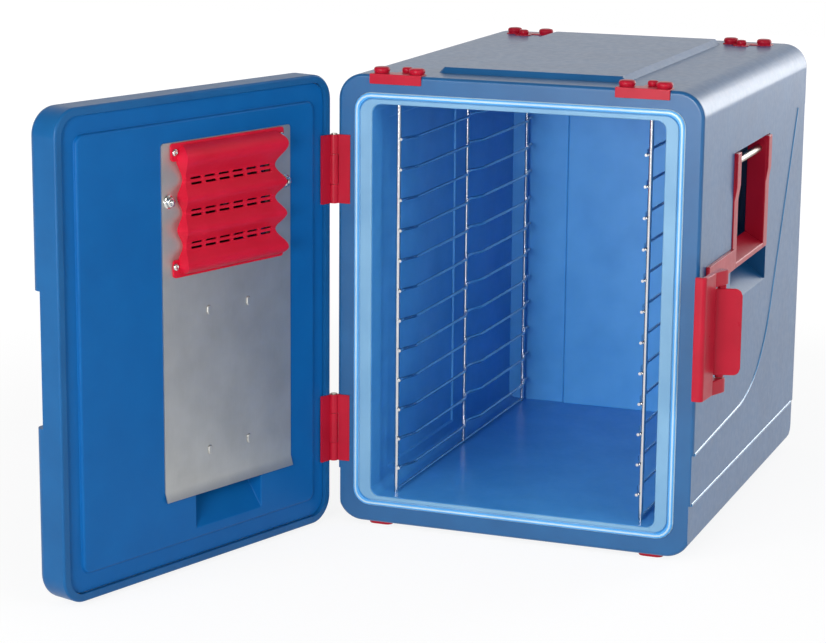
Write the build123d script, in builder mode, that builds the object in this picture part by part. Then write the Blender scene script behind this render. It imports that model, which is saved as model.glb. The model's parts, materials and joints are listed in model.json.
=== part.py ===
from build123d import *
import os
from math import cos, radians, sin

# Front-loading heated food transport box with a side-hung door, in millimetres.
# X runs to the right, Y from the open front to the back, Z up.
# The origin lies on the floor under the middle of the body.

# Body
body_width = 484.0
body_depth = 612.0
body_height = 596.0
foot_height = 6.0
corner_radius = 34.0
back_radius = 28.0
front_edge_radius = 5.0
shell_wall = 5.0
front_band = 23.0
plateau_margin = 116.0
plateau_front = 52.0
plateau_back_gap = 66.0
plateau_corner = 10.0
plateau_height = 7.0
step_depth = 2.0
step_rise = 136.0
step_top_drop = 85.0
step_foot_rise = 70.0
step_turn = 257.04
step_middle = 330.48
step_bend = 391.68
step_end = 538.56
step_turn_lift = 9.0
step_middle_lift = 26.0
step_bend_lift = 83.0

# Cavity and its sealed rim
side_wall = 48.0
floor_wall = 37.0
roof_wall = 38.0
back_wall = 40.0
cavity_corner = 12.0
liner_wall = 4.0
rim_ridge_width = 8.0
rim_ridge_height = 3.0
seal_height = 2.0
back_panel_width = 216.0
back_panel_depth = 5.0
wall_panel_depth = 3.0
wall_panel_start = 60.0
wall_panel_end = 318.0

# Tray racks
rack_wall_gap = 26.0
rack_post_front = 28.0
rack_back_gap = 16.0
rack_pitch = 40.0
rack_headroom = 40.0
rack_first = 34.0
rail_inset = 1.0
front_post_diameter = 6.0
post_diameter = 5.0
rail_diameter = 4.0
runner_diameter = 4.0
runner_offset = 8.0
runner_slant = 27.0
runner_flat = 12.0
runner_tail = 9.0

# Stacking corners and feet
corner_piece_inset = 76.0
corner_piece_width = 76.0
corner_piece_height = 3.0
corner_skirt_height = 14.0
knob_radius = 9.0
knob_height = 8.0
small_knob_radius = 6.5
knob_spread = 24.0
front_knob_y = 22.0
back_knob_gap = 64.0
knob_row_gap = 17.0
foot_side_gap = 56.0
foot_width = 36.0
foot_length = 60.0
foot_inset = 10.0

# Door
door_thickness = 46.0
door_gap = 2.3
door_outer_radius = 12.0
door_inner_radius = 3.0
door_rim = 10.0
door_wall = 4.0
door_rim_depth = 6.0
door_channel_depth = 4.5
door_field_inset = 33.0
door_field_chamfer = 2.0
door_groove_rise = 161.0
door_groove_width = 23.0
door_band_depth = 3.0
door_open = 108.0
notch_half_height = 83.0
notch_depth = 15.0
notch_width = 42.0

# Hinges
hinge_axis_out = 5.0
hinge_axis_forward = 1.0
hinge_spread = 173.0
hinge_end_knuckle = 25.0
hinge_middle_knuckle = 39.0
hinge_barrel_radius = 6.0
hinge_pin_radius = 2.5
hinge_leaf_width = 17.0
hinge_leaf_thickness = 3.0
hinge_leaf_proud = 0.9

# Carrying handles
handle_front = 166.0
handle_back = 364.0
handle_arm_width = 18.0
handle_depth = 30.5
handle_proud = 5.5
handle_boss_proud = 1.5
handle_pivot_drop = 116.0
handle_length = 139.0
handle_bar_height = 16.0
handle_boss_length = 49.0
handle_rod_radius = 5.0
rod_seat = 1.0
pocket_depth = 37.0
pocket_scoop_drop = 44.0
pocket_scoop_rise = 27.0
pocket_margin = 1.5

# Latch
latch_pivot_out = 9.0
latch_pivot_back = 8.0
latch_arm = 18.0
latch_open = 70.0
latch_tilt = 3.0
lever_half_height = 55.0
lever_reach = 43.0
lever_thickness = 4.5
lever_barrel_radius = 5.5
latch_ear_thickness = 4.0
claw_half_height = 78.0
claw_plate = 5.0
claw_side_gap = 2.0
claw_lip = 6.0
claw_hook = 6.0
latch_pin_radius = 2.5
latch_base_thickness = 3.0
latch_base_front = 6.0
latch_base_back = 40.0
bridge_lap = 11.3
bridge_height = 27.0
bridge_front = 33.0
bridge_thickness = 5.0

# Heater in the door
heater_x = -45.0
plate_width = 232.0
plate_foot_rise = 105.0
plate_head_drop = 58.0
plate_thickness = 1.5
plate_lip_drop = 13.0
plate_lip_out = 4.0
bay_half_width = 80.0
bay_height = 144.0
bay_head_drop = 16.0
bay_depth = 30.0
duct_half_width = 60.0
duct_drop = 58.0
duct_ramp = 42.0
tub_wall = 3.0
tub_corner = 6.0
fan_window_width = 140.0
fan_window_height = 118.0
grille_height = 165.0
grille_head_drop = 1.0
grille_valley_drops = (48.0, 87.0, 127.0)
grille_crest = 18.0
grille_valley = 6.0
grille_wall = 2.5
grille_tab_half_width = 101.0
grille_lobe_half_width = 90.0
grille_neck_half_width = 81.0
grille_tab_height = 22.0
slot_count = 6
slot_length = 20.0
slot_pitch = 25.0
slot_height = 2.8
slot_row_gap = 6.4
screw_x = 95.5
screw_high_drop = 11.0
screw_low_rise = 14.0
screw_head_radius = 4.5
screw_head_height = 2.6
screw_shank_radius = 2.0
tab_x = 36.0
tab_drop = 49.0
tab_rise = 39.0
tab_length = 12.0
tab_width = 7.0
tab_height = 1.6
nut_x = 105.0
nut_drop = 71.0
nut_radius = 6.5
nut_thickness = 5.0
washer_radius = 8.5
washer_thickness = 1.5
stud_radius = 3.0
stud_proud = 3.0
fan_drop = 88.0
fan_radius = 58.0
fan_hub_radius = 18.0
fan_blades = 9
fan_thickness = 12.0
fan_plate = 2.0
fan_blade_thickness = 2.0
fan_blade_angle = 35.0
fan_gap = 1.0
motor_radius = 34.0
motor_depth = 12.0
shaft_radius = 3.0
shaft_proud = 1.5
element_radius = 68.0
element_tube_radius = 3.5
element_leg_radius = 3.0
element_gap = 12.0
control_half_width = 42.0
control_height = 72.0
control_drop = 12.0
control_depth = 21.0
probe_radius = 3.0
probe_length = 50.0

# Power inlet and switch on the door's outer face
inlet_edge = 77.0
inlet_rise = 117.0
inlet_plate_width = 62.0
inlet_plate_height = 72.0
inlet_margin = 4.0
inlet_plate_thickness = 3.0
inlet_body_depth = 22.0
socket_up = 16.0
socket_width = 28.0
socket_tall = 22.0
socket_depth = 17.0
socket_pin_length = 14.0
socket_pin_pitch = 7.0
switch_down = 17.0
switch_width = 17.0
switch_radius = 11.5
switch_crown = 2.0
switch_stub_radius = 1.5
switch_stub_length = 2.0
switch_tilt = 8.0

# Fits
running = 0.05
seat_gap = 0.3
knuckle_gap = 0.4

front = -body_depth / 2
back = body_depth / 2
base = foot_height
top = base + body_height
side = body_width / 2
middle = base + body_height / 2
plateau_width = body_width - 2 * plateau_margin
plateau_back = body_depth - plateau_back_gap
step_line_low = base + step_rise
step_line_top = top - step_top_drop
step_line_foot = base + step_foot_rise
cavity_width = body_width - 2 * side_wall
cavity_floor = base + floor_wall
cavity_ceiling = top - roof_wall
cavity_depth = body_depth - back_wall
cavity_middle = (cavity_floor + cavity_ceiling) / 2
cavity_height = cavity_ceiling - cavity_floor
cavity_side = cavity_width / 2
rack_post_x = cavity_side - rack_wall_gap
rack_post_back = cavity_depth - rack_back_gap
rack_lowest = cavity_floor + rack_first
rack_levels = int((cavity_height - rack_first - rack_headroom) // rack_pitch) + 1
corner_piece_x = side - corner_piece_inset
back_knob_y = body_depth - back_knob_gap
foot_x = side - foot_side_gap
door_groove_low = base + door_groove_rise
door_groove_high = door_groove_low + door_groove_width
handle_pivot_height = top - handle_pivot_drop
handle_foot = handle_pivot_height - handle_length
handle_boss_foot = handle_pivot_height - handle_boss_length
pocket_scoop_foot = handle_foot - pocket_scoop_drop
plate_foot = base + plate_foot_rise
plate_head = top - plate_head_drop
bay_head = plate_head - bay_head_drop
bay_foot = bay_head - bay_height
duct_foot = plate_foot - duct_drop
grille_head = plate_head - grille_head_drop
grille_foot = grille_head - grille_height
grille_valleys = [grille_head - drop for drop in grille_valley_drops]
screw_high = grille_head - screw_high_drop
screw_low = grille_foot + screw_low_rise
tab_high = grille_foot - tab_drop
tab_low = plate_foot + tab_rise
nut_height = plate_head - nut_drop
fan_height = plate_head - fan_drop
control_head = bay_foot - control_drop
control_foot = control_head - control_height
inlet_x = -side + inlet_edge
inlet_height = base + inlet_rise
door_face = front - door_gap
door_outer = door_face - door_thickness
plate_face = door_face + plate_thickness
hinge_x = -side - hinge_axis_out
hinge_y = front - hinge_axis_forward
door_axis = Axis((hinge_x, hinge_y, 0), (0, 0, 1))
handle_middle = side + handle_proud - handle_depth / 2
handle_rod_length = handle_back - handle_front + 2 * pocket_margin + 2 * shell_wall - 2 * rod_seat

os.makedirs("parts", exist_ok=True)


def face_plane(y):
    """Upright plane at depth y that faces the front: its x is X and its y is Z."""
    return Plane(origin=(0, y, 0), x_dir=(1, 0, 0), z_dir=(0, -1, 0))


def side_plane(x):
    """Upright plane at x that faces the right side: its x is Y and its y is Z."""
    return Plane(origin=(x, 0, 0), x_dir=(0, 1, 0), z_dir=(1, 0, 0))


def save(solid, name):
    """Labels a finished piece and writes it."""
    solid.label = name
    export_step(solid, f"parts/{name}.step")


def save_on_door(solid, name):
    """Door pieces are modelled with the door shut and swung to the open rest position."""
    save(solid.rotate(door_axis, -door_open), name)


def body_block(inset, start):
    """The body's rounded outer form, moved inwards by inset, from depth start to the back."""
    with BuildPart() as block:
        with BuildSketch(face_plane(start)):
            with Locations((0, middle)):
                RectangleRounded(body_width - 2 * inset, body_height - 2 * inset, corner_radius - inset)
        extrude(amount=-(back - inset - start))
        fillet(block.faces().sort_by(Axis.Y)[-1].edges(), back_radius - inset)
    return block.part


def side_step_cuts(inset):
    """Shallow moulded steps on both sides: below a sweeping line, then again near the foot."""
    with BuildPart() as cuts:
        with BuildSketch(side_plane(side - step_depth - inset)):
            with BuildLine():
                start = (front - 1, step_line_low)
                turn = (front + step_turn, step_line_low + step_turn_lift)
                bend = (front + step_bend, step_line_low + step_bend_lift)
                end = (front + step_end, step_line_top)
                out = (back + 1, step_line_top)
                Line(start, turn)
                ThreePointArc(turn, (front + step_middle, step_line_low + step_middle_lift), bend)
                Line(bend, end)
                Line(end, out)
                Line(out, (back + 1, base - 1))
                Line((back + 1, base - 1), (front - 1, base - 1))
                Line((front - 1, base - 1), start)
            make_face()
        extrude(amount=step_depth + inset + 1)
        with BuildSketch(side_plane(side - 2 * step_depth - inset)):
            with Locations((0, (base - 1 + step_line_foot) / 2)):
                Rectangle(body_depth + 2, step_line_foot - base + 1)
        extrude(amount=2 * step_depth + inset + 1)
        mirror(about=Plane.YZ)
    return cuts.part


def handle_pockets(grow):
    """Hand recesses in both sides, with a scooped floor for the fingers."""
    inner = side - pocket_depth - grow
    low = pocket_scoop_foot - grow
    high = handle_pivot_height + handle_depth / 2 + handle_boss_proud + pocket_margin + grow
    with BuildPart() as pockets:
        with BuildSketch(face_plane(front + handle_front - pocket_margin - grow)):
            with BuildLine():
                Polyline(
                    (side + 2, low),
                    (side, low),
                    (inner, low + pocket_scoop_rise),
                    (inner, high),
                    (side + 2, high),
                    close=True,
                )
            make_face()
        extrude(amount=-(handle_back - handle_front + 2 * pocket_margin + 2 * grow))
        mirror(about=Plane.YZ)
    return pockets.part


def hinge_leaf_pockets():
    """Flat seats for the hinge leaves in the front band, one per hinge."""
    height = 2 * hinge_end_knuckle + hinge_middle_knuckle + 2 * knuckle_gap
    width = hinge_leaf_width + seat_gap
    with BuildPart() as seats:
        with BuildSketch(face_plane(front)):
            with Locations((0, middle)):
                with GridLocations(0, 2 * hinge_spread, 1, 2):
                    with Locations((-side + width / 2 - 1, 0)):
                        Rectangle(width + 2, height + 2 * seat_gap)
        extrude(amount=-hinge_leaf_thickness)
    return seats.part


# Outer shell: one moulded skin with a flat front band, a raised top panel and hand recesses
with BuildPart() as outer_shell:
    add(body_block(0, front))
    fillet(outer_shell.faces().sort_by(Axis.Y)[0].edges(), front_edge_radius)
    with BuildSketch(Plane.XY.offset(top)):
        with Locations((0, front + (plateau_front + plateau_back) / 2)):
            RectangleRounded(plateau_width, plateau_back - plateau_front, plateau_corner)
    extrude(amount=plateau_height, taper=45)
    add(side_step_cuts(0), mode=Mode.SUBTRACT)
    add(handle_pockets(0), mode=Mode.SUBTRACT)
    add(hinge_leaf_pockets(), mode=Mode.SUBTRACT)
    with BuildPart(mode=Mode.PRIVATE) as hollow:
        add(body_block(shell_wall, front + shell_wall))
        add(handle_pockets(shell_wall), mode=Mode.SUBTRACT)
        add(side_step_cuts(shell_wall), mode=Mode.SUBTRACT)
    add(hollow.part, mode=Mode.SUBTRACT)
    with BuildSketch(face_plane(front)):
        with Locations((0, middle)):
            RectangleRounded(
                body_width - 2 * front_band,
                body_height - 2 * front_band,
                corner_radius - front_band / 2,
            )
    extrude(amount=-(shell_wall + 1), mode=Mode.SUBTRACT)
    with BuildSketch(face_plane(front + handle_front - pocket_margin - shell_wall + rod_seat)):
        with GridLocations(2 * handle_middle, 0, 2, 1):
            with Locations((0, handle_pivot_height)):
                Circle(handle_rod_radius + running)
    extrude(amount=-handle_rod_length, mode=Mode.SUBTRACT)
save(outer_shell.part, "outer_shell")


# Cavity liner: a moulded tub with a flange and a rounded sealing ridge round the opening
with BuildPart() as inner_liner:
    with BuildSketch(face_plane(front)):
        with Locations((0, cavity_middle)):
            RectangleRounded(
                cavity_width + 2 * liner_wall,
                cavity_height + 2 * liner_wall,
                cavity_corner + liner_wall,
            )
    extrude(amount=-(cavity_depth + liner_wall))
    with BuildSketch(face_plane(front)):
        with Locations((0, middle)):
            RectangleRounded(
                body_width - 2 * front_band - 2 * seat_gap,
                body_height - 2 * front_band - 2 * seat_gap,
                corner_radius - front_band / 2,
            )
    extrude(amount=-liner_wall)
    with BuildSketch(face_plane(front)):
        with Locations((0, middle)):
            RectangleRounded(
                body_width - 2 * front_band - 2 * seat_gap,
                body_height - 2 * front_band - 2 * seat_gap,
                corner_radius - front_band / 2,
            )
            RectangleRounded(
                body_width - 2 * front_band - 2 * rim_ridge_width,
                body_height - 2 * front_band - 2 * rim_ridge_width,
                corner_radius / 2,
                mode=Mode.SUBTRACT,
            )
    extrude(amount=rim_ridge_height, taper=20)
    with BuildSketch(face_plane(front)):
        with Locations((0, cavity_middle)):
            RectangleRounded(cavity_width, cavity_height, cavity_corner)
    extrude(amount=-cavity_depth, mode=Mode.SUBTRACT)
    with BuildSketch(face_plane(front + cavity_depth)):
        with Locations((0, cavity_middle)):
            Rectangle(back_panel_width, cavity_height + liner_wall)
    extrude(amount=back_panel_depth, taper=30)
    with BuildSketch(side_plane(cavity_side)):
        with Locations((front + (wall_panel_start + wall_panel_end) / 2, cavity_middle)):
            Rectangle(wall_panel_end - wall_panel_start, cavity_height - 4 * cavity_corner)
    extrude(amount=wall_panel_depth, taper=20, mode=Mode.SUBTRACT)
    with BuildSketch(side_plane(-cavity_side)):
        with Locations((front + (wall_panel_start + wall_panel_end) / 2, cavity_middle)):
            Rectangle(wall_panel_end - wall_panel_start, cavity_height - 4 * cavity_corner)
    extrude(amount=-wall_panel_depth, taper=20, mode=Mode.SUBTRACT)
save(inner_liner.part, "inner_liner")

# Pale silicone seal, lying on the flange between the ridge and the opening
with BuildPart() as cavity_seal:
    with BuildSketch(face_plane(front)):
        with Locations((0, middle)):
            RectangleRounded(
                body_width - 2 * front_band - 2 * rim_ridge_width - 2 * seat_gap,
                body_height - 2 * front_band - 2 * rim_ridge_width - 2 * seat_gap,
                corner_radius / 2,
            )
        with Locations((0, cavity_middle)):
            RectangleRounded(
                cavity_width + 2 * seat_gap,
                cavity_height + 2 * seat_gap,
                cavity_corner,
                mode=Mode.SUBTRACT,
            )
    extrude(amount=seal_height)
    chamfer(cavity_seal.faces().sort_by(Axis.Y)[0].edges(), seal_height / 2)
save(cavity_seal.part, "cavity_seal")

# Foam between the shell and the liner, kept clear of both skins
with BuildPart() as body_foam:
    add(body_block(shell_wall, front + shell_wall))
    add(handle_pockets(shell_wall), mode=Mode.SUBTRACT)
    add(side_step_cuts(shell_wall), mode=Mode.SUBTRACT)
    with BuildSketch(face_plane(front)):
        with Locations((0, cavity_middle)):
            RectangleRounded(
                cavity_width + 2 * liner_wall,
                cavity_height + 2 * liner_wall,
                cavity_corner + liner_wall,
            )
    extrude(amount=-(cavity_depth + liner_wall), mode=Mode.SUBTRACT)
save(body_foam.part, "body_foam")


def rack_frame(edge):
    """Three posts joined by a bottom and a top rail, on the left or the right wall."""
    low = cavity_floor + seat_gap
    high = cavity_ceiling - seat_gap
    with BuildPart() as frame:
        for place, diameter in rack_posts:
            with BuildSketch(Plane.XY.offset(low)):
                with Locations((edge * (rack_post_x + (diameter - post_diameter) / 2), place)):
                    Circle(diameter / 2)
            extrude(amount=high - low)
        with BuildSketch(face_plane(rack_posts[0][0])):
            for height in (low + rail_diameter / 2 + rail_inset, high - rail_diameter / 2 - rail_inset):
                with Locations((edge * rack_post_x, height)):
                    Circle(rail_diameter / 2)
        extrude(amount=-(rack_post_back - rack_post_front))
    return frame.part


def rack_runners(edge):
    """One wire per level: it leaves each post with a jog towards the tray and comes back to the next."""
    outer = edge * (rack_post_x - (post_diameter + runner_diameter) / 2)
    inner = outer - edge * runner_offset
    places = [place for place, diameter in rack_posts]
    route = [(outer, places[0] - runner_flat / 2)]
    for start, end in zip(places, places[1:]):
        route += [
            (outer, start + runner_flat / 2),
            (inner, start + runner_flat / 2 + runner_slant),
            (inner, end - runner_flat / 2 - runner_slant),
            (outer, end - runner_flat / 2),
        ]
    route.append((outer, places[-1] + runner_tail))
    with BuildPart() as runners:
        for level in range(rack_levels):
            height = rack_lowest + level * rack_pitch
            with BuildLine() as path:
                Polyline(*[(x, y, height) for x, y in route])
            with BuildSketch(Plane(origin=(outer, route[0][1], height), z_dir=(0, 1, 0))):
                Circle(runner_diameter / 2)
            sweep(path=path.line, transition=Transition.RIGHT)
    return runners.part


rack_posts = (
    (front + rack_post_front, front_post_diameter),
    (front + (rack_post_front + rack_post_back) / 2, post_diameter),
    (front + rack_post_back, post_diameter),
)
for edge, hand in ((-1, "left"), (1, "right")):
    save(rack_frame(edge), f"rack_frame_{hand}")
    save(rack_runners(edge), f"rack_runners_{hand}")


def stacking_corner(edge, at_front):
    """A red moulding with two round knobs and a small one; the front pair wraps over the edge."""
    knob_y = front + (front_knob_y if at_front else back_knob_y)
    pad_back = knob_y + knob_row_gap + small_knob_radius + 3
    pad_front = front if at_front else knob_y - knob_row_gap - small_knob_radius - 3
    pad_end = pad_back if at_front else knob_y + knob_radius + 3
    small_y = knob_y + knob_row_gap if at_front else knob_y - knob_row_gap
    with BuildPart() as corner:
        with BuildSketch(Plane.XY.offset(top)):
            with Locations((edge * corner_piece_x, (pad_front + pad_end) / 2)):
                RectangleRounded(corner_piece_width, pad_end - pad_front, 4)
        extrude(amount=corner_piece_height)
        with BuildSketch(Plane.XY.offset(top)):
            for offset in (-knob_spread, knob_spread):
                with Locations((edge * corner_piece_x + offset, knob_y)):
                    Circle(knob_radius)
        extrude(amount=knob_height)
        with BuildSketch(Plane.XY.offset(top)):
            with Locations((edge * corner_piece_x, small_y)):
                Circle(small_knob_radius)
        extrude(amount=knob_height - 1)
        chamfer(corner.faces().filter_by(Axis.Z).group_by(Axis.Z)[-1].edges(), 2)
        if at_front:
            with BuildSketch(face_plane(front)):
                with Locations((edge * corner_piece_x, top + (corner_piece_height - corner_skirt_height) / 2)):
                    Rectangle(corner_piece_width, corner_piece_height + corner_skirt_height)
            extrude(amount=door_gap - seat_gap)
    return corner.part


for row, at_front in (("front", True), ("rear", False)):
    for edge, hand in ((-1, "left"), (1, "right")):
        save(stacking_corner(edge, at_front), f"stacking_corner_{row}_{hand}")


def foot(edge, row):
    """A low red skid with rounded ends, flat underneath."""
    with BuildPart() as skid:
        with BuildSketch(Plane.XY):
            with Locations((edge * foot_x, row * (body_depth / 2 - foot_inset - foot_length / 2))):
                RectangleRounded(foot_width - 4, foot_length - 4, 8)
        extrude(amount=foot_height, taper=-15)
    return skid.part


for row, place in (("front", -1), ("rear", 1)):
    for edge, hand in ((-1, "left"), (1, "right")):
        save(foot(edge, place), f"foot_{row}_{hand}")


# Hinges: body leaves with two end knuckles, door leaves with the middle one, loose pins
hinge_height = 2 * hinge_end_knuckle + hinge_middle_knuckle + 2 * knuckle_gap
knuckle_span = hinge_middle_knuckle + 2 * knuckle_gap


def hinge_leaf(height, on_door):
    """One leaf with its knuckles round the hinge axis."""
    seat = door_face if on_door else front
    inward = -1 if on_door else 1
    proud = seat - inward * (0 if on_door else hinge_leaf_proud)
    low = height - hinge_height / 2
    with BuildPart() as leaf:
        with BuildSketch(Plane.XY.offset(low)):
            with Locations((hinge_x, hinge_y)):
                Circle(hinge_barrel_radius)
            with BuildLine():
                Polyline(
                    (hinge_x, proud),
                    (-side + hinge_leaf_width, proud),
                    (-side + hinge_leaf_width, seat + inward * hinge_leaf_thickness),
                    (hinge_x, seat + inward * hinge_leaf_thickness),
                    close=True,
                )
            make_face()
        extrude(amount=hinge_height)
        with BuildSketch(Plane.XY.offset(height - (knuckle_span / 2 if not on_door else hinge_height / 2))):
            with Locations((hinge_x, hinge_y)):
                Circle(hinge_barrel_radius + knuckle_gap)
        if on_door:
            extrude(amount=(hinge_height - hinge_middle_knuckle) / 2, mode=Mode.SUBTRACT)
            with BuildSketch(Plane.XY.offset(height + hinge_middle_knuckle / 2)):
                with Locations((hinge_x, hinge_y)):
                    Circle(hinge_barrel_radius + knuckle_gap)
            extrude(amount=(hinge_height - hinge_middle_knuckle) / 2, mode=Mode.SUBTRACT)
        else:
            extrude(amount=knuckle_span, mode=Mode.SUBTRACT)
        with BuildSketch(Plane.XY.offset(low)):
            with Locations((hinge_x, hinge_y)):
                Circle(hinge_pin_radius + running)
        extrude(amount=hinge_height, mode=Mode.SUBTRACT)
    return leaf.part


def hinge_pin(height):
    """A plain steel pin with a low head on top."""
    with BuildPart() as pin:
        with BuildSketch(Plane.XY.offset(height - hinge_height / 2)):
            with Locations((hinge_x, hinge_y)):
                Circle(hinge_pin_radius)
        extrude(amount=hinge_height)
        with BuildSketch(Plane.XY.offset(height + hinge_height / 2)):
            with Locations((hinge_x, hinge_y)):
                Circle(hinge_pin_radius + 1.5)
        extrude(amount=1.5)
    return pin.part


for place, height in (("upper", middle + hinge_spread), ("lower", middle - hinge_spread)):
    save(hinge_leaf(height, False), f"hinge_leaf_body_{place}")
    save_on_door(hinge_leaf(height, True), f"hinge_leaf_door_{place}")
    save(hinge_pin(height), f"hinge_pin_{place}")


# Carrying handles: a deep U-shaped bail on a steel rod in each hand recess
with BuildPart() as bail_right:
    with BuildSketch(face_plane(front + handle_front)):
        with Locations((handle_middle, handle_pivot_height)):
            Circle(handle_depth / 2)
        with Locations((handle_middle, (handle_pivot_height + handle_foot) / 2)):
            Rectangle(handle_depth, handle_pivot_height - handle_foot)
    extrude(amount=-(handle_back - handle_front))
    with BuildSketch(side_plane(handle_middle - handle_depth)):
        with Locations((front + (handle_front + handle_back) / 2, handle_foot + handle_bar_height + 100)):
            RectangleRounded(handle_back - handle_front - 2 * handle_arm_width, 200, 6)
    extrude(amount=2 * handle_depth, mode=Mode.SUBTRACT)
    fillet(bail_right.faces().sort_by(Axis.Z)[0].edges().filter_by(Axis.Y), 5)
    with BuildSketch(face_plane(front + handle_front)):
        with Locations((handle_middle, handle_pivot_height)):
            Circle(handle_depth / 2 + handle_boss_proud)
        with Locations((handle_middle + handle_depth / 4, (handle_pivot_height + handle_boss_foot) / 2)):
            Rectangle(
                handle_depth / 2 + 2 * handle_boss_proud,
                handle_pivot_height - handle_boss_foot,
            )
    extrude(amount=-handle_arm_width)
    with BuildSketch(face_plane(front + handle_back - handle_arm_width)):
        with Locations((handle_middle, handle_pivot_height)):
            Circle(handle_depth / 2 + handle_boss_proud)
        with Locations((handle_middle + handle_depth / 4, (handle_pivot_height + handle_boss_foot) / 2)):
            Rectangle(
                handle_depth / 2 + 2 * handle_boss_proud,
                handle_pivot_height - handle_boss_foot,
            )
    extrude(amount=-handle_arm_width)
    with BuildSketch(face_plane(front + handle_front)):
        with Locations((handle_middle, handle_pivot_height)):
            Circle(handle_rod_radius + running)
    extrude(amount=-(handle_back - handle_front), mode=Mode.SUBTRACT)
save(bail_right.part, "bail_right")
save(bail_right.part.mirror(Plane.YZ), "bail_left")

with BuildPart() as bail_rod_right:
    with BuildSketch(face_plane(front + handle_front - pocket_margin - shell_wall + rod_seat)):
        with Locations((handle_middle, handle_pivot_height)):
            Circle(handle_rod_radius)
    extrude(amount=-handle_rod_length)
save(bail_rod_right.part, "bail_rod_right")
save(bail_rod_right.part.mirror(Plane.YZ), "bail_rod_left")


# Draw latch on the right side: base with two ears, finger lever and hooked claw
latch_x = side + latch_pivot_out
latch_y = front + latch_pivot_back
latch_axis = Axis((latch_x, latch_y, 0), (0, 0, 1))
claw_shut_y = latch_y + latch_arm
claw_shut_axis = Axis((latch_x, claw_shut_y, 0), (0, 0, 1))
ear_low = lever_half_height + seat_gap
ear_high = ear_low + latch_ear_thickness
bridge_low = middle + ear_high - bridge_lap
bridge_high = bridge_low + bridge_height
claw_window = ear_high + seat_gap
hook_face = door_outer + notch_depth - seat_gap

with BuildPart() as latch_base:
    with BuildSketch(side_plane(side)):
        with Locations((front + (latch_base_front + latch_base_back) / 2, middle)):
            Rectangle(latch_base_back - latch_base_front, 2 * ear_high)
    extrude(amount=latch_base_thickness)
    with BuildSketch(side_plane(side)):
        with Locations(
            (front + (bridge_front + handle_front - pocket_margin) / 2, (bridge_low + bridge_high) / 2)
        ):
            Rectangle(handle_front - pocket_margin - bridge_front, bridge_high - bridge_low)
    extrude(amount=bridge_thickness)
    for start in (middle - ear_high, middle + ear_low):
        with BuildSketch(Plane.XY.offset(start)):
            with Locations((latch_x, latch_y)):
                Circle(lever_barrel_radius)
            with Locations(((side + latch_x) / 2, latch_y + 1)):
                Rectangle(latch_x - side, 2 * lever_barrel_radius - 2)
        extrude(amount=latch_ear_thickness)
    with BuildSketch(Plane.XY.offset(middle - ear_high)):
        with Locations((latch_x, latch_y)):
            Circle(latch_pin_radius + running)
    extrude(amount=2 * ear_high, mode=Mode.SUBTRACT)
save(latch_base.part, "latch_base")

with BuildPart() as latch_pin:
    with BuildSketch(Plane.XY.offset(middle - ear_high)):
        with Locations((latch_x, latch_y)):
            Circle(latch_pin_radius)
    extrude(amount=2 * ear_high)
save(latch_pin.part, "latch_pin")

# The lever is drawn shut, lying along the side, and turned to its released place
with BuildPart() as latch_lever:
    with BuildSketch(Plane.XY.offset(middle - lever_half_height)):
        with Locations((latch_x, latch_y), (latch_x, claw_shut_y)):
            Circle(lever_barrel_radius)
        with Locations((latch_x, (latch_y + claw_shut_y) / 2)):
            Rectangle(lever_thickness, latch_arm)
        with BuildLine():
            lever_end = latch_y + lever_reach
            lever_half = lever_thickness / 2
            ThreePointArc(
                (latch_x - lever_half, claw_shut_y),
                (latch_x + 1 - lever_half, (claw_shut_y + lever_end) / 2),
                (latch_x + 8 - lever_half, lever_end),
            )
            Line((latch_x + 8 - lever_half, lever_end), (latch_x + 8 + lever_half, lever_end - 1))
            ThreePointArc(
                (latch_x + 8 + lever_half, lever_end - 1),
                (latch_x + 1 + lever_half, (claw_shut_y + lever_end) / 2 - 1),
                (latch_x + lever_half, claw_shut_y),
            )
            Line((latch_x + lever_half, claw_shut_y), (latch_x - lever_half, claw_shut_y))
        make_face()
    extrude(amount=2 * lever_half_height)
    with BuildSketch(Plane.XY.offset(middle - lever_half_height)):
        with Locations((latch_x, latch_y), (latch_x, claw_shut_y)):
            Circle(latch_pin_radius + running)
    extrude(amount=2 * lever_half_height, mode=Mode.SUBTRACT)
save(latch_lever.part.rotate(latch_axis, -latch_open), "latch_lever")

with BuildPart() as claw_pin:
    with BuildSketch(Plane.XY.offset(middle - claw_half_height)):
        with Locations((latch_x, claw_shut_y)):
            Circle(latch_pin_radius)
    extrude(amount=2 * claw_half_height)

# The claw is drawn shut too: a plate with an inward lip and two arms back to its pin
with BuildPart() as latch_claw:
    claw_inner = side + claw_side_gap
    claw_outer = claw_inner + claw_plate
    claw_front = hook_face - claw_hook
    with BuildSketch(Plane.XY.offset(middle - claw_half_height)):
        with BuildLine():
            Polyline(
                (side - claw_lip, claw_front),
                (claw_outer, claw_front),
                (claw_outer, claw_shut_y),
                (claw_inner, claw_shut_y),
                (claw_inner, hook_face),
                (side - claw_lip, hook_face),
                close=True,
            )
        make_face()
        with Locations((latch_x, claw_shut_y)):
            Circle(lever_barrel_radius)
    extrude(amount=2 * claw_half_height)
    fillet(latch_claw.edges().filter_by(Axis.Z).sort_by_distance((claw_outer, claw_front, middle))[0], 4)
    with BuildSketch(Plane.XY.offset(middle - claw_window)):
        with Locations((latch_x, claw_shut_y)):
            Rectangle(60, 2 * (claw_shut_y - front + 2))
    extrude(amount=2 * claw_window, mode=Mode.SUBTRACT)
    with BuildSketch(Plane.XY.offset(middle - claw_half_height)):
        with Locations((latch_x, claw_shut_y)):
            Circle(latch_pin_radius + running)
    extrude(amount=2 * claw_half_height, mode=Mode.SUBTRACT)


def release(solid):
    """Swings a claw piece from its shut place to the released one."""
    return solid.rotate(claw_shut_axis, latch_open - latch_tilt).rotate(latch_axis, -latch_open)


save(release(latch_claw.part), "latch_claw")
save(release(claw_pin.part), "claw_pin")


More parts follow.
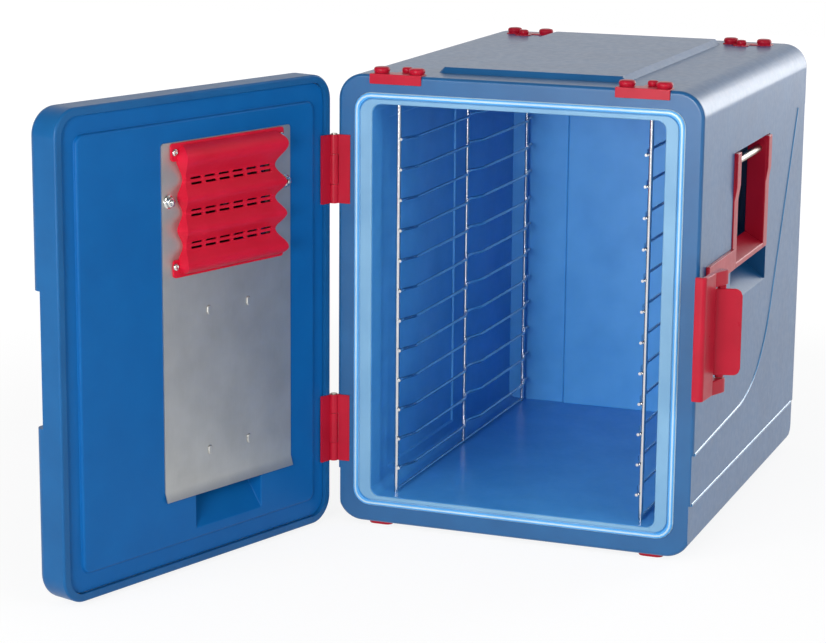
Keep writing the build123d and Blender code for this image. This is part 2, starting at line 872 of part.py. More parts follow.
# Door, drawn shut and swung open as it is saved
panel_depth = door_channel_depth + door_wall
bay_floor = door_face - bay_depth
inlet_face = door_outer - inlet_plate_thickness


def door_block(inset, start, end):
    """The door's rounded outline moved inwards by inset, between two depths."""
    with BuildPart() as block:
        with BuildSketch(face_plane(end)):
            with Locations((0, middle)):
                RectangleRounded(
                    body_width - 2 * inset,
                    body_height - 2 * inset,
                    max(corner_radius - inset, cavity_corner),
                )
        extrude(amount=end - start)
    return block.part


def latch_notch(grow):
    """Corner cut in the door's free edge that the latch hooks into."""
    with BuildPart() as notch:
        with BuildSketch(face_plane(door_outer + notch_depth + grow)):
            with Locations((side + 1 - (notch_width + grow) / 2, middle)):
                Rectangle(notch_width + grow + 2, 2 * (notch_half_height + grow))
        extrude(amount=notch_depth + grow + 1)
    return notch.part


def door_bands(grow):
    """A shallow groove across the outer face and a set-back foot band under it."""
    low = step_line_foot + grow
    with BuildPart() as bands:
        with BuildSketch(face_plane(door_outer + door_band_depth + grow)):
            with Locations((0, (door_groove_low + door_groove_high) / 2)):
                Rectangle(body_width + 2, door_groove_high - door_groove_low + 2 * grow)
            with Locations((0, (base - 1 + low) / 2)):
                Rectangle(body_width + 2, low - base + 1)
        extrude(amount=door_band_depth + grow + 1)
    return bands.part


def door_hollow():
    """The space inside the door's outer shell."""
    with BuildPart() as hollow:
        add(door_block(door_wall, door_outer + door_wall, door_face - door_rim_depth))
        fillet(hollow.faces().sort_by(Axis.Y)[0].edges(), door_outer_radius - door_wall)
        add(latch_notch(door_wall), mode=Mode.SUBTRACT)
        add(door_bands(door_wall), mode=Mode.SUBTRACT)
    return hollow.part


def inlet_hole():
    """Opening for the power inlet through the shell and into the foam."""
    with BuildPart() as hole:
        with BuildSketch(face_plane(door_outer + inlet_body_depth + seat_gap)):
            with Locations((inlet_x, inlet_height)):
                Rectangle(
                    inlet_plate_width - 2 * inlet_margin + 2 * seat_gap,
                    inlet_plate_height - 2 * inlet_margin + 2 * seat_gap,
                )
        extrude(amount=inlet_body_depth + seat_gap + 1)
    return hole.part


def tub_block(grow):
    """The fan bay and the air duct below it, with a ramp at the outlet, grown by a wall."""
    deep = bay_floor - grow
    ramp_foot = duct_foot - grow
    with BuildPart() as tub:
        with BuildSketch(face_plane(door_face)):
            with Locations((heater_x, (bay_foot + bay_head) / 2)):
                RectangleRounded(
                    2 * (bay_half_width + grow),
                    bay_head - bay_foot + 2 * grow,
                    tub_corner + grow,
                )
        extrude(amount=bay_depth + grow)
        with BuildSketch(side_plane(heater_x - duct_half_width - grow)):
            with BuildLine():
                Polyline(
                    (door_face, ramp_foot),
                    (deep, ramp_foot + duct_ramp),
                    (deep, bay_foot + 2 * tub_corner),
                    (door_face, bay_foot + 2 * tub_corner),
                    close=True,
                )
            make_face()
        extrude(amount=2 * (duct_half_width + grow))
    return tub.part


# Outer shell of the door: rim, groove, latch notch, hinge seats and the inlet opening
with BuildPart() as door_outer_shell:
    add(door_block(0, door_outer, door_face))
    fillet(door_outer_shell.faces().sort_by(Axis.Y)[0].edges(), door_outer_radius)
    fillet(door_outer_shell.faces().sort_by(Axis.Y)[-1].edges(), door_inner_radius)
    add(door_bands(0), mode=Mode.SUBTRACT)
    add(latch_notch(0), mode=Mode.SUBTRACT)
    add(door_hollow(), mode=Mode.SUBTRACT)
    add(door_block(door_rim, door_face - door_rim_depth, door_face), mode=Mode.SUBTRACT)
    add(inlet_hole(), mode=Mode.SUBTRACT)
    with BuildSketch(face_plane(door_face)):
        with Locations((0, middle)):
            with GridLocations(0, 2 * hinge_spread, 1, 2):
                with Locations((-side + hinge_leaf_width / 2 - 1, 0)):
                    Rectangle(hinge_leaf_width + 2, hinge_height + 2 * seat_gap)
    extrude(amount=hinge_leaf_thickness, mode=Mode.SUBTRACT)
save_on_door(door_outer_shell.part, "door_outer_shell")

# Inner panel: sealing channel round a raised field, with the heater's bay and duct moulded in
with BuildPart() as door_inner_panel:
    add(door_block(door_rim + seat_gap, door_face - panel_depth, door_face - door_channel_depth))
    with BuildPart(mode=Mode.PRIVATE) as field:
        add(door_block(door_field_inset, door_face - door_channel_depth, door_face))
        chamfer(field.faces().sort_by(Axis.Y)[-1].edges(), door_field_chamfer)
    add(field.part)
    with BuildPart(mode=Mode.PRIVATE) as relief:
        add(door_block(door_field_inset + door_wall, door_face - panel_depth, door_face - door_wall))
        add(tub_block(tub_wall), mode=Mode.SUBTRACT)
    add(relief.part, mode=Mode.SUBTRACT)
    add(tub_block(tub_wall))
    add(tub_block(0), mode=Mode.SUBTRACT)
save_on_door(door_inner_panel.part, "door_inner_panel")

with BuildPart() as door_foam:
    add(door_hollow())
    with BuildPart(mode=Mode.PRIVATE) as panel_seat:
        add(door_block(door_rim + seat_gap, door_face - panel_depth, door_face - door_rim_depth))
    add(panel_seat.part, mode=Mode.SUBTRACT)
    add(door_block(door_field_inset + door_wall, door_face - panel_depth, door_face - door_wall))
    add(tub_block(tub_wall), mode=Mode.SUBTRACT)
    add(inlet_hole(), mode=Mode.SUBTRACT)
save_on_door(door_foam.part, "door_foam")


# Heater: cover plate, waved grille, fasteners, fan, element and control box
plate_middle = (plate_foot + plate_head) / 2
screw_places = [(heater_x + edge * screw_x, height) for edge in (-1, 1) for height in (screw_low, screw_high)]
tab_places = [(heater_x + edge * tab_x, height) for edge in (-1, 1) for height in (tab_low, tab_high)]
nut_places = [(heater_x + edge * nut_x, nut_height) for edge in (-1, 1)]

with BuildPart() as heater_plate:
    with BuildSketch(face_plane(door_face)):
        with Locations((heater_x, plate_middle)):
            RectangleRounded(plate_width, plate_head - plate_foot, 4)
        with Locations((heater_x, fan_height)):
            RectangleRounded(fan_window_width, fan_window_height, 8, mode=Mode.SUBTRACT)
        with Locations(*screw_places):
            Circle(screw_shank_radius + running, mode=Mode.SUBTRACT)
        with Locations(*nut_places):
            Circle(stud_radius + running, mode=Mode.SUBTRACT)
    extrude(amount=-plate_thickness)
    with BuildSketch(side_plane(heater_x - plate_width / 2)):
        with BuildLine():
            Polyline(
                (door_face, plate_foot + 4),
                (plate_face, plate_foot + 4),
                (plate_face, plate_foot),
                (plate_face + plate_lip_out, plate_foot - plate_lip_drop),
                (door_face + plate_lip_out, plate_foot - plate_lip_drop),
                (door_face, plate_foot),
                close=True,
            )
        make_face()
    extrude(amount=plate_width)
save_on_door(heater_plate.part, "heater_plate")


def grille_form(inset):
    """The waved hump of the grille, moved inwards by inset: four lobes with necks between them."""
    low = grille_foot + 2 + inset
    high = grille_head - 2 - inset
    stops = (high, *grille_valleys, low)
    heights = [(plate_face, high)]
    widths = [(grille_neck_half_width, high)]
    for start, end in zip(stops, stops[1:]):
        crest = (start + end) / 2
        heights += [(plate_face + grille_crest, crest), (plate_face + grille_valley, end)]
        widths += [(grille_lobe_half_width, crest), (grille_neck_half_width, end)]
    heights[-1] = (plate_face, low)
    with BuildPart() as form:
        with BuildSketch(face_plane(plate_face)):
            with BuildLine():
                right = Spline(*[(heater_x + w - inset, z) for w, z in widths])
                left = Spline(*[(heater_x - w + inset, z) for w, z in widths])
                Line(right @ 0, left @ 0)
                Line(right @ 1, left @ 1)
            make_face()
        extrude(amount=-2 * grille_crest)
        with BuildSketch(side_plane(heater_x - 2 * grille_lobe_half_width)):
            with BuildLine():
                wave = Spline(*[(y - (inset if plate_face < y else 0), z) for y, z in heights])
                Line(wave @ 0, wave @ 1)
            make_face()
        extrude(amount=4 * grille_lobe_half_width, mode=Mode.INTERSECT)
    return form.part


with BuildPart() as fan_grille:
    add(grille_form(0))
    with BuildSketch(face_plane(plate_face)):
        with Locations((heater_x, grille_head - grille_tab_height / 2)):
            RectangleRounded(2 * grille_tab_half_width, grille_tab_height, 4)
        with Locations((heater_x, grille_foot + grille_tab_height / 2)):
            RectangleRounded(2 * grille_tab_half_width - 4, grille_tab_height, 4)
    extrude(amount=-grille_wall)
    add(grille_form(grille_wall), mode=Mode.SUBTRACT)
    with BuildSketch(face_plane(plate_face)):
        for valley in grille_valleys:
            with Locations((heater_x, valley)):
                with GridLocations(slot_pitch, slot_row_gap, slot_count, 2):
                    SlotOverall(slot_length, slot_height)
        with Locations(*screw_places):
            Circle(screw_shank_radius + running)
    extrude(amount=-grille_crest, mode=Mode.SUBTRACT)
save_on_door(fan_grille.part, "fan_grille")

with BuildPart() as grille_screws:
    with BuildSketch(face_plane(door_face)):
        with Locations(*screw_places):
            Circle(screw_shank_radius)
    extrude(amount=-(plate_thickness + grille_wall))
    with BuildSketch(face_plane(plate_face + grille_wall)):
        with Locations(*screw_places):
            Circle(screw_head_radius)
    extrude(amount=-screw_head_height)
    chamfer(grille_screws.faces().filter_by(Axis.Y).group_by(Axis.Y)[-1].edges(), 1)
save_on_door(grille_screws.part, "grille_screws")

with BuildPart() as plate_tabs:
    with BuildSketch(face_plane(plate_face)):
        with Locations(*tab_places):
            SlotOverall(tab_length, tab_width, rotation=90)
    extrude(amount=-tab_height)
    chamfer(plate_tabs.faces().filter_by(Axis.Y).group_by(Axis.Y)[-1].edges(), tab_height / 2)
save_on_door(plate_tabs.part, "plate_tabs")

with BuildPart() as plate_nuts:
    with BuildSketch(face_plane(door_face)):
        with Locations(*nut_places):
            Circle(stud_radius)
    extrude(amount=-(plate_thickness + washer_thickness + nut_thickness + stud_proud))
    with BuildSketch(face_plane(plate_face)):
        with Locations(*nut_places):
            Circle(washer_radius)
    extrude(amount=-washer_thickness)
    with BuildSketch(face_plane(plate_face + washer_thickness)):
        with Locations(*nut_places):
            RegularPolygon(nut_radius, 6)
    extrude(amount=-nut_thickness)
save_on_door(plate_nuts.part, "plate_nuts")

with BuildPart() as fan_motor:
    with BuildSketch(face_plane(bay_floor)):
        with Locations((heater_x, fan_height)):
            Circle(motor_radius)
    extrude(amount=-motor_depth)
    chamfer(fan_motor.faces().sort_by(Axis.Y)[-1].edges(), 2)
    with BuildSketch(face_plane(bay_floor + motor_depth)):
        with Locations((heater_x, fan_height)):
            Circle(shaft_radius)
    extrude(amount=-(fan_thickness + fan_gap + shaft_proud))
save_on_door(fan_motor.part, "fan_motor")

fan_start = bay_floor + motor_depth + fan_gap
with BuildPart() as fan_impeller:
    with BuildSketch(face_plane(fan_start)):
        with Locations((heater_x, fan_height)):
            Circle(fan_radius)
    extrude(amount=-fan_plate)
    with BuildSketch(face_plane(fan_start)):
        with Locations((heater_x, fan_height)):
            Circle(fan_hub_radius)
            with PolarLocations((fan_radius + fan_hub_radius) / 2, fan_blades):
                Rectangle(fan_radius - fan_hub_radius, fan_blade_thickness, rotation=fan_blade_angle)
    extrude(amount=-fan_thickness)
    with BuildSketch(face_plane(fan_start)):
        with Locations((heater_x, fan_height)):
            Circle(shaft_radius + running)
    extrude(amount=-fan_thickness, mode=Mode.SUBTRACT)
save_on_door(fan_impeller.part, "fan_impeller")

with BuildPart() as heating_element:
    with BuildLine(face_plane(fan_start + fan_thickness / 2)) as ring:
        CenterArc(
            (heater_x, fan_height),
            element_radius,
            element_gap - 90,
            360 - 2 * element_gap,
        )
    with BuildSketch(Plane(origin=ring.line @ 0, z_dir=ring.line % 0)):
        Circle(element_tube_radius)
    sweep(path=ring.line)
    with BuildSketch(Plane.XY.offset(control_head)):
        with Locations((heater_x, fan_start + fan_thickness / 2)):
            with GridLocations(2 * element_radius * sin(radians(element_gap)), 0, 2, 1):
                Circle(element_leg_radius)
    extrude(amount=fan_height - element_radius * cos(radians(element_gap)) - control_head)
save_on_door(heating_element.part, "heating_element")

with BuildPart() as control_box:
    with BuildSketch(face_plane(bay_floor)):
        with Locations((heater_x, (control_foot + control_head) / 2)):
            RectangleRounded(2 * control_half_width, control_head - control_foot, 3)
    extrude(amount=-control_depth)
    chamfer(control_box.faces().sort_by(Axis.Y)[-1].edges(), 1.5)
save_on_door(control_box.part, "control_box")

with BuildPart() as temperature_probe:
    with BuildSketch(Plane.XY.offset(control_foot - probe_length)):
        with Locations((heater_x, bay_floor + control_depth / 2)):
            Circle(probe_radius)
    extrude(amount=probe_length)
    fillet(temperature_probe.faces().sort_by(Axis.Z)[0].edges(), probe_radius - 0.5)
save_on_door(temperature_probe.part, "temperature_probe")


# Power inlet: panel with a three-pin socket above a rocker switch
socket_z = inlet_height + socket_up
switch_z = inlet_height - switch_down
switch_y = inlet_face + switch_crown
switch_axis = Axis((inlet_x, switch_y, switch_z), (1, 0, 0))
with BuildPart() as inlet_panel:
    with BuildSketch(face_plane(door_outer)):
        with Locations((inlet_x, inlet_height)):
            RectangleRounded(inlet_plate_width, inlet_plate_height, 4)
    extrude(amount=inlet_plate_thickness)
    with BuildSketch(face_plane(door_outer)):
        with Locations((inlet_x, inlet_height)):
            Rectangle(inlet_plate_width - 2 * inlet_margin, inlet_plate_height - 2 * inlet_margin)
    extrude(amount=-inlet_body_depth)
    with BuildSketch(face_plane(inlet_face)):
        with Locations((inlet_x, socket_z)):
            Rectangle(socket_width, socket_tall)
    extrude(amount=-socket_depth, mode=Mode.SUBTRACT)
    with BuildSketch(face_plane(inlet_face)):
        with Locations((inlet_x, switch_z)):
            Rectangle(switch_width + 2 * seat_gap, 2 * (switch_radius + seat_gap))
    extrude(amount=-(switch_crown + switch_radius + seat_gap), mode=Mode.SUBTRACT)
    with BuildSketch(side_plane(inlet_x - switch_width / 2 - seat_gap - switch_stub_length)):
        with Locations((switch_y, switch_z)):
            Circle(switch_stub_radius + running)
    extrude(amount=switch_width + 2 * seat_gap + 2 * switch_stub_length, mode=Mode.SUBTRACT)
save_on_door(inlet_panel.part, "inlet_panel")

with BuildPart() as inlet_pins:
    with BuildSketch(face_plane(inlet_face + socket_depth)):
        with Locations((inlet_x, socket_z)):
            with Locations((-socket_pin_pitch, -2), (0, 2), (socket_pin_pitch, -2)):
                Rectangle(2, 4)
    extrude(amount=socket_pin_length)
save_on_door(inlet_pins.part, "inlet_pins")

# The rocker turns on two stubs and rests tipped one way
with BuildPart() as power_switch:
    with BuildSketch(side_plane(inlet_x - switch_width / 2)):
        with Locations((switch_y, switch_z)):
            Circle(switch_radius)
        with Locations((switch_y - switch_radius - 1, switch_z)):
            Rectangle(2 * switch_radius + 2, 3 * switch_radius, mode=Mode.SUBTRACT)
        with BuildLine():
            Polyline(
                (switch_y, switch_z - switch_radius),
                (switch_y - switch_crown + 1, switch_z - switch_radius),
                (switch_y - 1, switch_z),
                (switch_y - switch_crown + 1, switch_z + switch_radius),
                (switch_y, switch_z + switch_radius),
                close=True,
            )
        make_face()
    extrude(amount=switch_width)
    with BuildSketch(side_plane(inlet_x - switch_width / 2 - switch_stub_length)):
        with Locations((switch_y, switch_z)):
            Circle(switch_stub_radius)
    extrude(amount=switch_width + 2 * switch_stub_length)
save_on_door(power_switch.part.rotate(switch_axis, -switch_tilt), "power_switch")
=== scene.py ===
# %% [markdown]
# # An insulated food transport box, dressed for a photograph
# The real object is a moulded plastic box that carries hot catering trays. Its door stands open,
# so we see the heater in the door, the wire racks in the cavity and the red fittings outside.
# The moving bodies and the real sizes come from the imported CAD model, which stays as it is. Here
# each visible piece gets its rounded edges, its small details and a material made from nodes.

# %% Load the frame
import json
import math

import bmesh
import bpy
from mathutils import Matrix, Vector


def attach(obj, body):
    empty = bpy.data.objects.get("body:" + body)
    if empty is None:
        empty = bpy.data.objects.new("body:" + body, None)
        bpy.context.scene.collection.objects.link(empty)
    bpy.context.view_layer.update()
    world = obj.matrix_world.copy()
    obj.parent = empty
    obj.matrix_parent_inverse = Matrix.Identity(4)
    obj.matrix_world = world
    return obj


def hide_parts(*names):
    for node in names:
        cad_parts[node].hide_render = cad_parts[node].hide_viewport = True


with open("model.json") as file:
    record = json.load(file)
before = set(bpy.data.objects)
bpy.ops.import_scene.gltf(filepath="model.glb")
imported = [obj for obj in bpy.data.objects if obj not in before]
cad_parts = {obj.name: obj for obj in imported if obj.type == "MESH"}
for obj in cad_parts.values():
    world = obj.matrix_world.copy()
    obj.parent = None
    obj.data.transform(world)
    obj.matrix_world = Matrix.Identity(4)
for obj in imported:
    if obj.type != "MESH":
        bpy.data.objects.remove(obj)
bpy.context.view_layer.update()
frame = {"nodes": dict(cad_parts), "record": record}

# %% [markdown]
# ## Camera
# A product photographer stands a few metres back with a long lens, so upright edges stay nearly
# parallel. The place, the direction and the small roll below were fitted to the box's corners in
# the photograph, so that those of the model fall close to them.

# %% Camera
MM = 0.001
IMAGE_WIDTH = 826
CAMERA_PLACE = Vector((0.992, -3.292, 0.994))
AZIMUTH, ELEVATION, ROLL = math.radians(20.70), math.radians(12.55), math.radians(-0.51)
FOCAL_PIXELS = 2520.0

forward = Vector((
    -math.sin(AZIMUTH) * math.cos(ELEVATION),
    math.cos(AZIMUTH) * math.cos(ELEVATION),
    -math.sin(ELEVATION),
))
level_right = forward.cross(Vector((0, 0, 1))).normalized()
level_down = forward.cross(level_right).normalized()
right = math.cos(ROLL) * level_right + math.sin(ROLL) * level_down
down = -math.sin(ROLL) * level_right + math.cos(ROLL) * level_down

camera_data = bpy.data.cameras.new("photo_camera")
camera_data.sensor_width = 36.0
camera_data.lens = FOCAL_PIXELS * camera_data.sensor_width / IMAGE_WIDTH
camera = bpy.data.objects.new("photo_camera", camera_data)
turn = Matrix((right, -down, -forward)).transposed()
camera.matrix_world = Matrix.Translation(CAMERA_PLACE) @ turn.to_4x4()
bpy.context.scene.collection.objects.link(camera)
bpy.context.scene.camera = camera
bpy.context.scene.view_settings.view_transform = "Standard"
print("lens", round(camera_data.lens, 2))

# %% [markdown]
# ## Colours and nodes
# Paint charts and web pages give colours as sRGB hex values, while Blender's shaders work in
# linear light, so one function turns the first into the second. A second small function adds a
# node with its settings and links, which keeps each material readable as a recipe.


# %% Helpers for materials
def hex_colour(code):
    """Linear RGBA for an sRGB hex value such as 1F66AE."""
    channels = [int(code[i : i + 2], 16) / 255 for i in (0, 2, 4)]
    linear = [c / 12.92 if c <= 0.04045 else ((c + 0.055) / 1.055) ** 2.4 for c in channels]
    return (*linear, 1.0)


def put(tree, kind, links=(), **settings):
    """Adds a node. Settings name its properties or its sockets; links are (socket, source)."""
    node = tree.nodes.new(kind)
    properties = node.bl_rna.properties
    # Properties go first, because some of them decide which sockets a node has.
    for key, value in settings.items():
        if key in properties:
            setattr(node, key, value)
    for key, value in settings.items():
        if key not in properties:
            node.inputs[key.replace("_", " ")].default_value = value
    for socket, source in links:
        tree.links.new(source, node.inputs[socket])
    return node


def new_material(name):
    """An empty material with its tree, its surface shader and its object coordinates."""
    material = bpy.data.materials.new(name)
    material.use_nodes = True
    tree = material.node_tree
    tree.nodes.clear()
    shader = put(tree, "ShaderNodeBsdfPrincipled")
    put(tree, "ShaderNodeOutputMaterial", [("Surface", shader.outputs[0])])
    coordinates = put(tree, "ShaderNodeTexCoord").outputs["Object"]
    return material, tree, shader, coordinates


def ramp(tree, factor, stops):
    """A colour ramp whose stops are (place, hex) pairs."""
    node = put(tree, "ShaderNodeValToRGB", [("Fac", factor)])
    elements = node.color_ramp.elements
    while len(elements) < len(stops):
        elements.new(0.5)
    for element, (place, code) in zip(elements, stops):
        element.position = place
        element.color = hex_colour(code)
    return node.outputs["Color"]


def span(tree, factor, low, high):
    """Maps a 0 to 1 factor onto a range."""
    node = put(tree, "ShaderNodeMapRange", [("Value", factor)], To_Min=low, To_Max=high)
    return node.outputs["Result"]


def noise(tree, place, size_mm, detail):
    """Noise from 0 to 1 whose size is given in real millimetres."""
    scale = 1 / (size_mm * MM)
    node = put(tree, "ShaderNodeTexNoise", [("Vector", place)], Scale=scale, Detail=detail)
    return node.outputs[0]


# %% [markdown]
# ## Moulded plastics
# The body and the door are rotation-moulded or foamed polypropylene. The tool's surface is lightly
# blasted, so the skin has a fine grain and a satin gloss with slow changes in it, and the thick
# walls pull in slightly as they cool, which bends reflections over tens of millimetres.
# Patterns at four real sizes give this: grain, wear, flow mottling and the slow pull.

# %% Moulded plastic
# Sizes of the patterns on a moulded wall and depths of its two bumps, in millimetres.
MOTTLING_MM, WEAR_MM, PULL_MM = 55, 9, 90
PULL_DEPTH_MM, GRAIN_DEPTH_MM = 2, 0.15
POLYPROPYLENE_IOR = 1.49
COAT_ROUGHNESS = 0.12


def moulded_plastic(
    name, dark, light, roughness, grain_mm, grain_strength, pull=0.15, coat=0.0, shine=0.5
):
    """Satin moulded plastic: fine grain, slow mottling and walls that pull in a little."""
    material, tree, shader, place = new_material(name)
    shader.inputs["IOR"].default_value = POLYPROPYLENE_IOR
    shader.inputs["Specular IOR Level"].default_value = shine
    colour = ramp(tree, noise(tree, place, MOTTLING_MM, 4.0), [(0.30, dark), (0.70, light)])
    tree.links.new(colour, shader.inputs["Base Color"])
    gloss = span(tree, noise(tree, place, WEAR_MM, 6.0), roughness - 0.07, roughness + 0.09)
    tree.links.new(gloss, shader.inputs["Roughness"])
    grain = put(tree, "ShaderNodeTexVoronoi", [("Vector", place)], Scale=1 / (grain_mm * MM))
    pulled = noise(tree, place, PULL_MM, 1.0)
    slow = put(
        tree,
        "ShaderNodeBump",
        [("Height", pulled)],
        Strength=pull,
        Distance=PULL_DEPTH_MM * MM,
    )
    fine = put(
        tree,
        "ShaderNodeBump",
        [("Height", grain.outputs["Distance"]), ("Normal", slow.outputs[0])],
        Strength=grain_strength,
        Distance=GRAIN_DEPTH_MM * MM,
    )
    tree.links.new(fine.outputs[0], shader.inputs["Normal"])
    if coat:
        shader.inputs["Coat Weight"].default_value = coat
        shader.inputs["Coat Roughness"].default_value = COAT_ROUGHNESS
    return material


# %% [markdown]
# The blue pieces share a look but not a surface: the outside is blasted, the door's inner panel and
# the cavity are smoother, and the ridge and the seal are pale. The cavity's lighter blue is painted
# light, and the ridge's pale blue is a painted highlight. Each has its own recipe, because a shared
# one would read as a single moulding.

# %% Blue plastics
# The real grain is 0.3 to 0.6 mm; it is drawn at 1.4 mm, because a pixel is 1.2 mm wide here.
shell_plastic = moulded_plastic(
    "blasted_polypropylene_blue", "105488", "145C92", 0.35, 1.4, 0.22, pull=0.10, coat=0.16
)
# The beads are painted a paler blue than the wall: a painted highlight for the bright lines along
# the side steps.
bead_plastic_painted_highlight = moulded_plastic(
    "polished_polypropylene_blue", "3F86BC", "4A90C6", 0.18, 2.5, 0.05, coat=0.6
)
door_plastic = moulded_plastic(
    "blasted_polypropylene_blue_door", "10558C", "145D96", 0.36, 1.4, 0.22, pull=0.08, shine=0.25
)
liner_plastic = moulded_plastic(
    "smooth_polypropylene_blue", "0A5DA0", "0C62A6", 0.36, 1.8, 0.10, pull=0.05, shine=0.15
)
# The cavity's blue is painted lighter than the body's: painted light standing in for the lamp that
# shines into the cavity.
cavity_plastic_painted_light = moulded_plastic(
    "smooth_polypropylene_light_blue", "469BDE", "52A7E8", 0.34, 1.8, 0.08, pull=0.08, coat=0.05
)
# Pale: the ridge is polished in the tool and its pale blue is a painted highlight, and the seal is
# soft silicone.
ridge_plastic_painted_highlight = moulded_plastic(
    "polished_polypropylene_pale_blue", "AECDE0", "BAD6E6", 0.20, 2.5, 0.05
)
seal_silicone = moulded_plastic(
    "silicone_rubber_pale_blue", "6E9FC4", "7AAACC", 0.42, 2.2, 0.08, pull=0.05
)
print("blue plastics ready")

# %% [markdown]
# The fittings are injection-moulded, so their skin is smoother than the body's. The foam is hidden
# in use, and gets its own finish so that a reader who opens the model sees what it is.

# %% Red, black and grey plastics and foam
# Injection-moulded nylon for what carries load, polypropylene for the warm grille.
red_nylon = moulded_plastic(
    "moulded_nylon_red", "AC142C", "BA1832", 0.30, 1.6, 0.10, pull=0.08, shine=0.22
)
red_grille_plastic = moulded_plastic(
    "moulded_polypropylene_red", "C8142F", "D61C3A", 0.42, 1.6, 0.18, pull=0.10, shine=0.18
)
black_plastic = moulded_plastic("moulded_abs_black", "0B0B0C", "141416", 0.38, 1.2, 0.15)
grey_plastic = moulded_plastic("moulded_abs_grey", "5A5E63", "666A70", 0.48, 1.2, 0.2)
foam_core = moulded_plastic("polyurethane_foam_cream", "D8D0B0", "E4DCC0", 0.85, 3.0, 0.6)
print("other plastics ready")

# %% [markdown]
# ## Metals
# The rack wires are electropolished stainless steel: mirror-like, slightly uneven where they were
# bent. The cover plate is stainless sheet with a fine brushed grain that runs up and down.
# Brushing is thousands of parallel scratches, so the noise is stretched along one direction.

# %% Metals
HAZE_MM, SCRATCH_DEPTH_MM = 40, 0.1


def worked_metal(name, colour_low, colour_high, roughness, grain_mm, stretch, strength):
    """Bare metal; stretch scales the scratches on X, Y and Z, and a small value makes them long."""
    material, tree, shader, place = new_material(name)
    shader.inputs["Metallic"].default_value = 1.0
    mapped = put(tree, "ShaderNodeMapping", [("Vector", place)], Scale=stretch)
    scratches = noise(tree, mapped.outputs[0], grain_mm, 5.0)
    haze = noise(tree, place, HAZE_MM, 3.0)
    colour = ramp(tree, haze, [(0.3, colour_low), (0.7, colour_high)])
    tree.links.new(colour, shader.inputs["Base Color"])
    gloss = span(tree, scratches, roughness - 0.1, roughness + 0.12)
    tree.links.new(gloss, shader.inputs["Roughness"])
    bump = put(
        tree,
        "ShaderNodeBump",
        [("Height", scratches)],
        Strength=strength,
        Distance=SCRATCH_DEPTH_MM * MM,
    )
    tree.links.new(bump.outputs[0], shader.inputs["Normal"])
    return material


EVEN, ALONG_Y, ALONG_Z = (1, 1, 1), (1, 0.05, 1), (1, 1, 0.03)
rack_wire = worked_metal(
    "electropolished_stainless_wire", "C9CBCE", "D8DADC", 0.16, 6.0, EVEN, 0.05
)
rod_steel = worked_metal("ground_stainless_rod", "A9A79C", "B8B6AC", 0.30, 2.0, ALONG_Y, 0.15)
bright_steel = worked_metal("zinc_plated_bright_steel", "D2D2D0", "E0E0DC", 0.22, 2.0, EVEN, 0.05)
plate_steel = worked_metal("brushed_stainless_sheet", "B9B9B6", "C4C4C1", 0.50, 0.9, ALONG_Z, 0.08)
motor_steel = worked_metal("zinc_plated_steel", "8F9296", "A0A3A6", 0.38, 3.0, EVEN, 0.1)
element_steel = worked_metal("oxidised_incoloy_tube", "4F4842", "6A6058", 0.45, 2.0, EVEN, 0.1)
pin_brass = worked_metal("nickel_plated_brass", "C8B98E", "D6C8A0", 0.25, 2.0, EVEN, 0.05)
print("metals ready")

# %% [markdown]
# ## Rounded edges on the fittings
# No moulded or cut piece has a knife edge: plastic gets a radius of a few tenths of a millimetre or
# more so that it leaves the tool, and sheet is deburred. Those radii catch the light and are what
# the eye reads as a real edge. The CAD nodes are loose triangles, so a copy of each is merged,
# its flat faces are joined again, and a Bevel modifier rounds what is sharper than 30 degrees.
# Weighted normals then keep the large faces flat.

# %% Softened copies of the CAD nodes
MERGE_MM, SLIVER_MM = 0.004, 0.01
FLAT_ANGLE = math.radians(1.0)


def plain_mesh(obj):
    """Bakes an object's modifiers into a plain mesh."""
    graph = bpy.context.evaluated_depsgraph_get()
    mesh = bpy.data.meshes.new_from_object(obj.evaluated_get(graph))
    obj.modifiers.clear()
    obj.data = mesh
    return obj


def link(name, mesh, material, body, replaced):
    """Adds a piece to the scene on its body, standing for the CAD nodes named."""
    obj = bpy.data.objects.new(name, mesh)
    bpy.context.scene.collection.objects.link(obj)
    mesh.materials.clear()
    mesh.materials.append(material)
    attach(obj, body)
    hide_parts(*replaced)
    return obj


def merged_copy(node, name):
    """A copy of a CAD node with its triangles merged and its flat faces joined."""
    mesh = frame["nodes"][node].data.copy()
    mesh.name = name
    work = bmesh.new()
    work.from_mesh(mesh)
    bmesh.ops.remove_doubles(work, verts=work.verts, dist=MERGE_MM * MM)
    bmesh.ops.dissolve_limit(
        work,
        angle_limit=FLAT_ANGLE,
        verts=work.verts,
        edges=work.edges,
        use_dissolve_boundaries=False,
    )
    bmesh.ops.dissolve_degenerate(work, dist=SLIVER_MM * MM, edges=work.edges)
    work.to_mesh(mesh)
    work.free()
    return mesh


def body_of(node):
    """The name of the body that carries a CAD node."""
    return next(b for b, nodes in frame["record"]["behaviour"]["bodies"].items() if node in nodes)


def round_edges(obj, width_mm, segments, angle=30.0):
    """Rounds the sharp edges of a piece and keeps its faces flat."""
    bevel = obj.modifiers.new("rounded_edges", "BEVEL")
    bevel.width = width_mm * MM
    bevel.segments = segments
    bevel.limit_method = "ANGLE"
    bevel.angle_limit = math.radians(angle)
    bevel.use_clamp_overlap = True
    bevel.harden_normals = False
    obj.data.shade_smooth()
    weigh = obj.modifiers.new("flat_faces", "WEIGHTED_NORMAL")
    weigh.keep_sharp = True
    weigh.weight = 80


def soften(node, material, width_mm, segments):
    """Stands a copy with rounded edges in for a CAD node."""
    name = f"{node}_visible"
    obj = link(name, merged_copy(node, name), material, body_of(node), [node])
    round_edges(obj, width_mm, segments)
    return plain_mesh(obj)


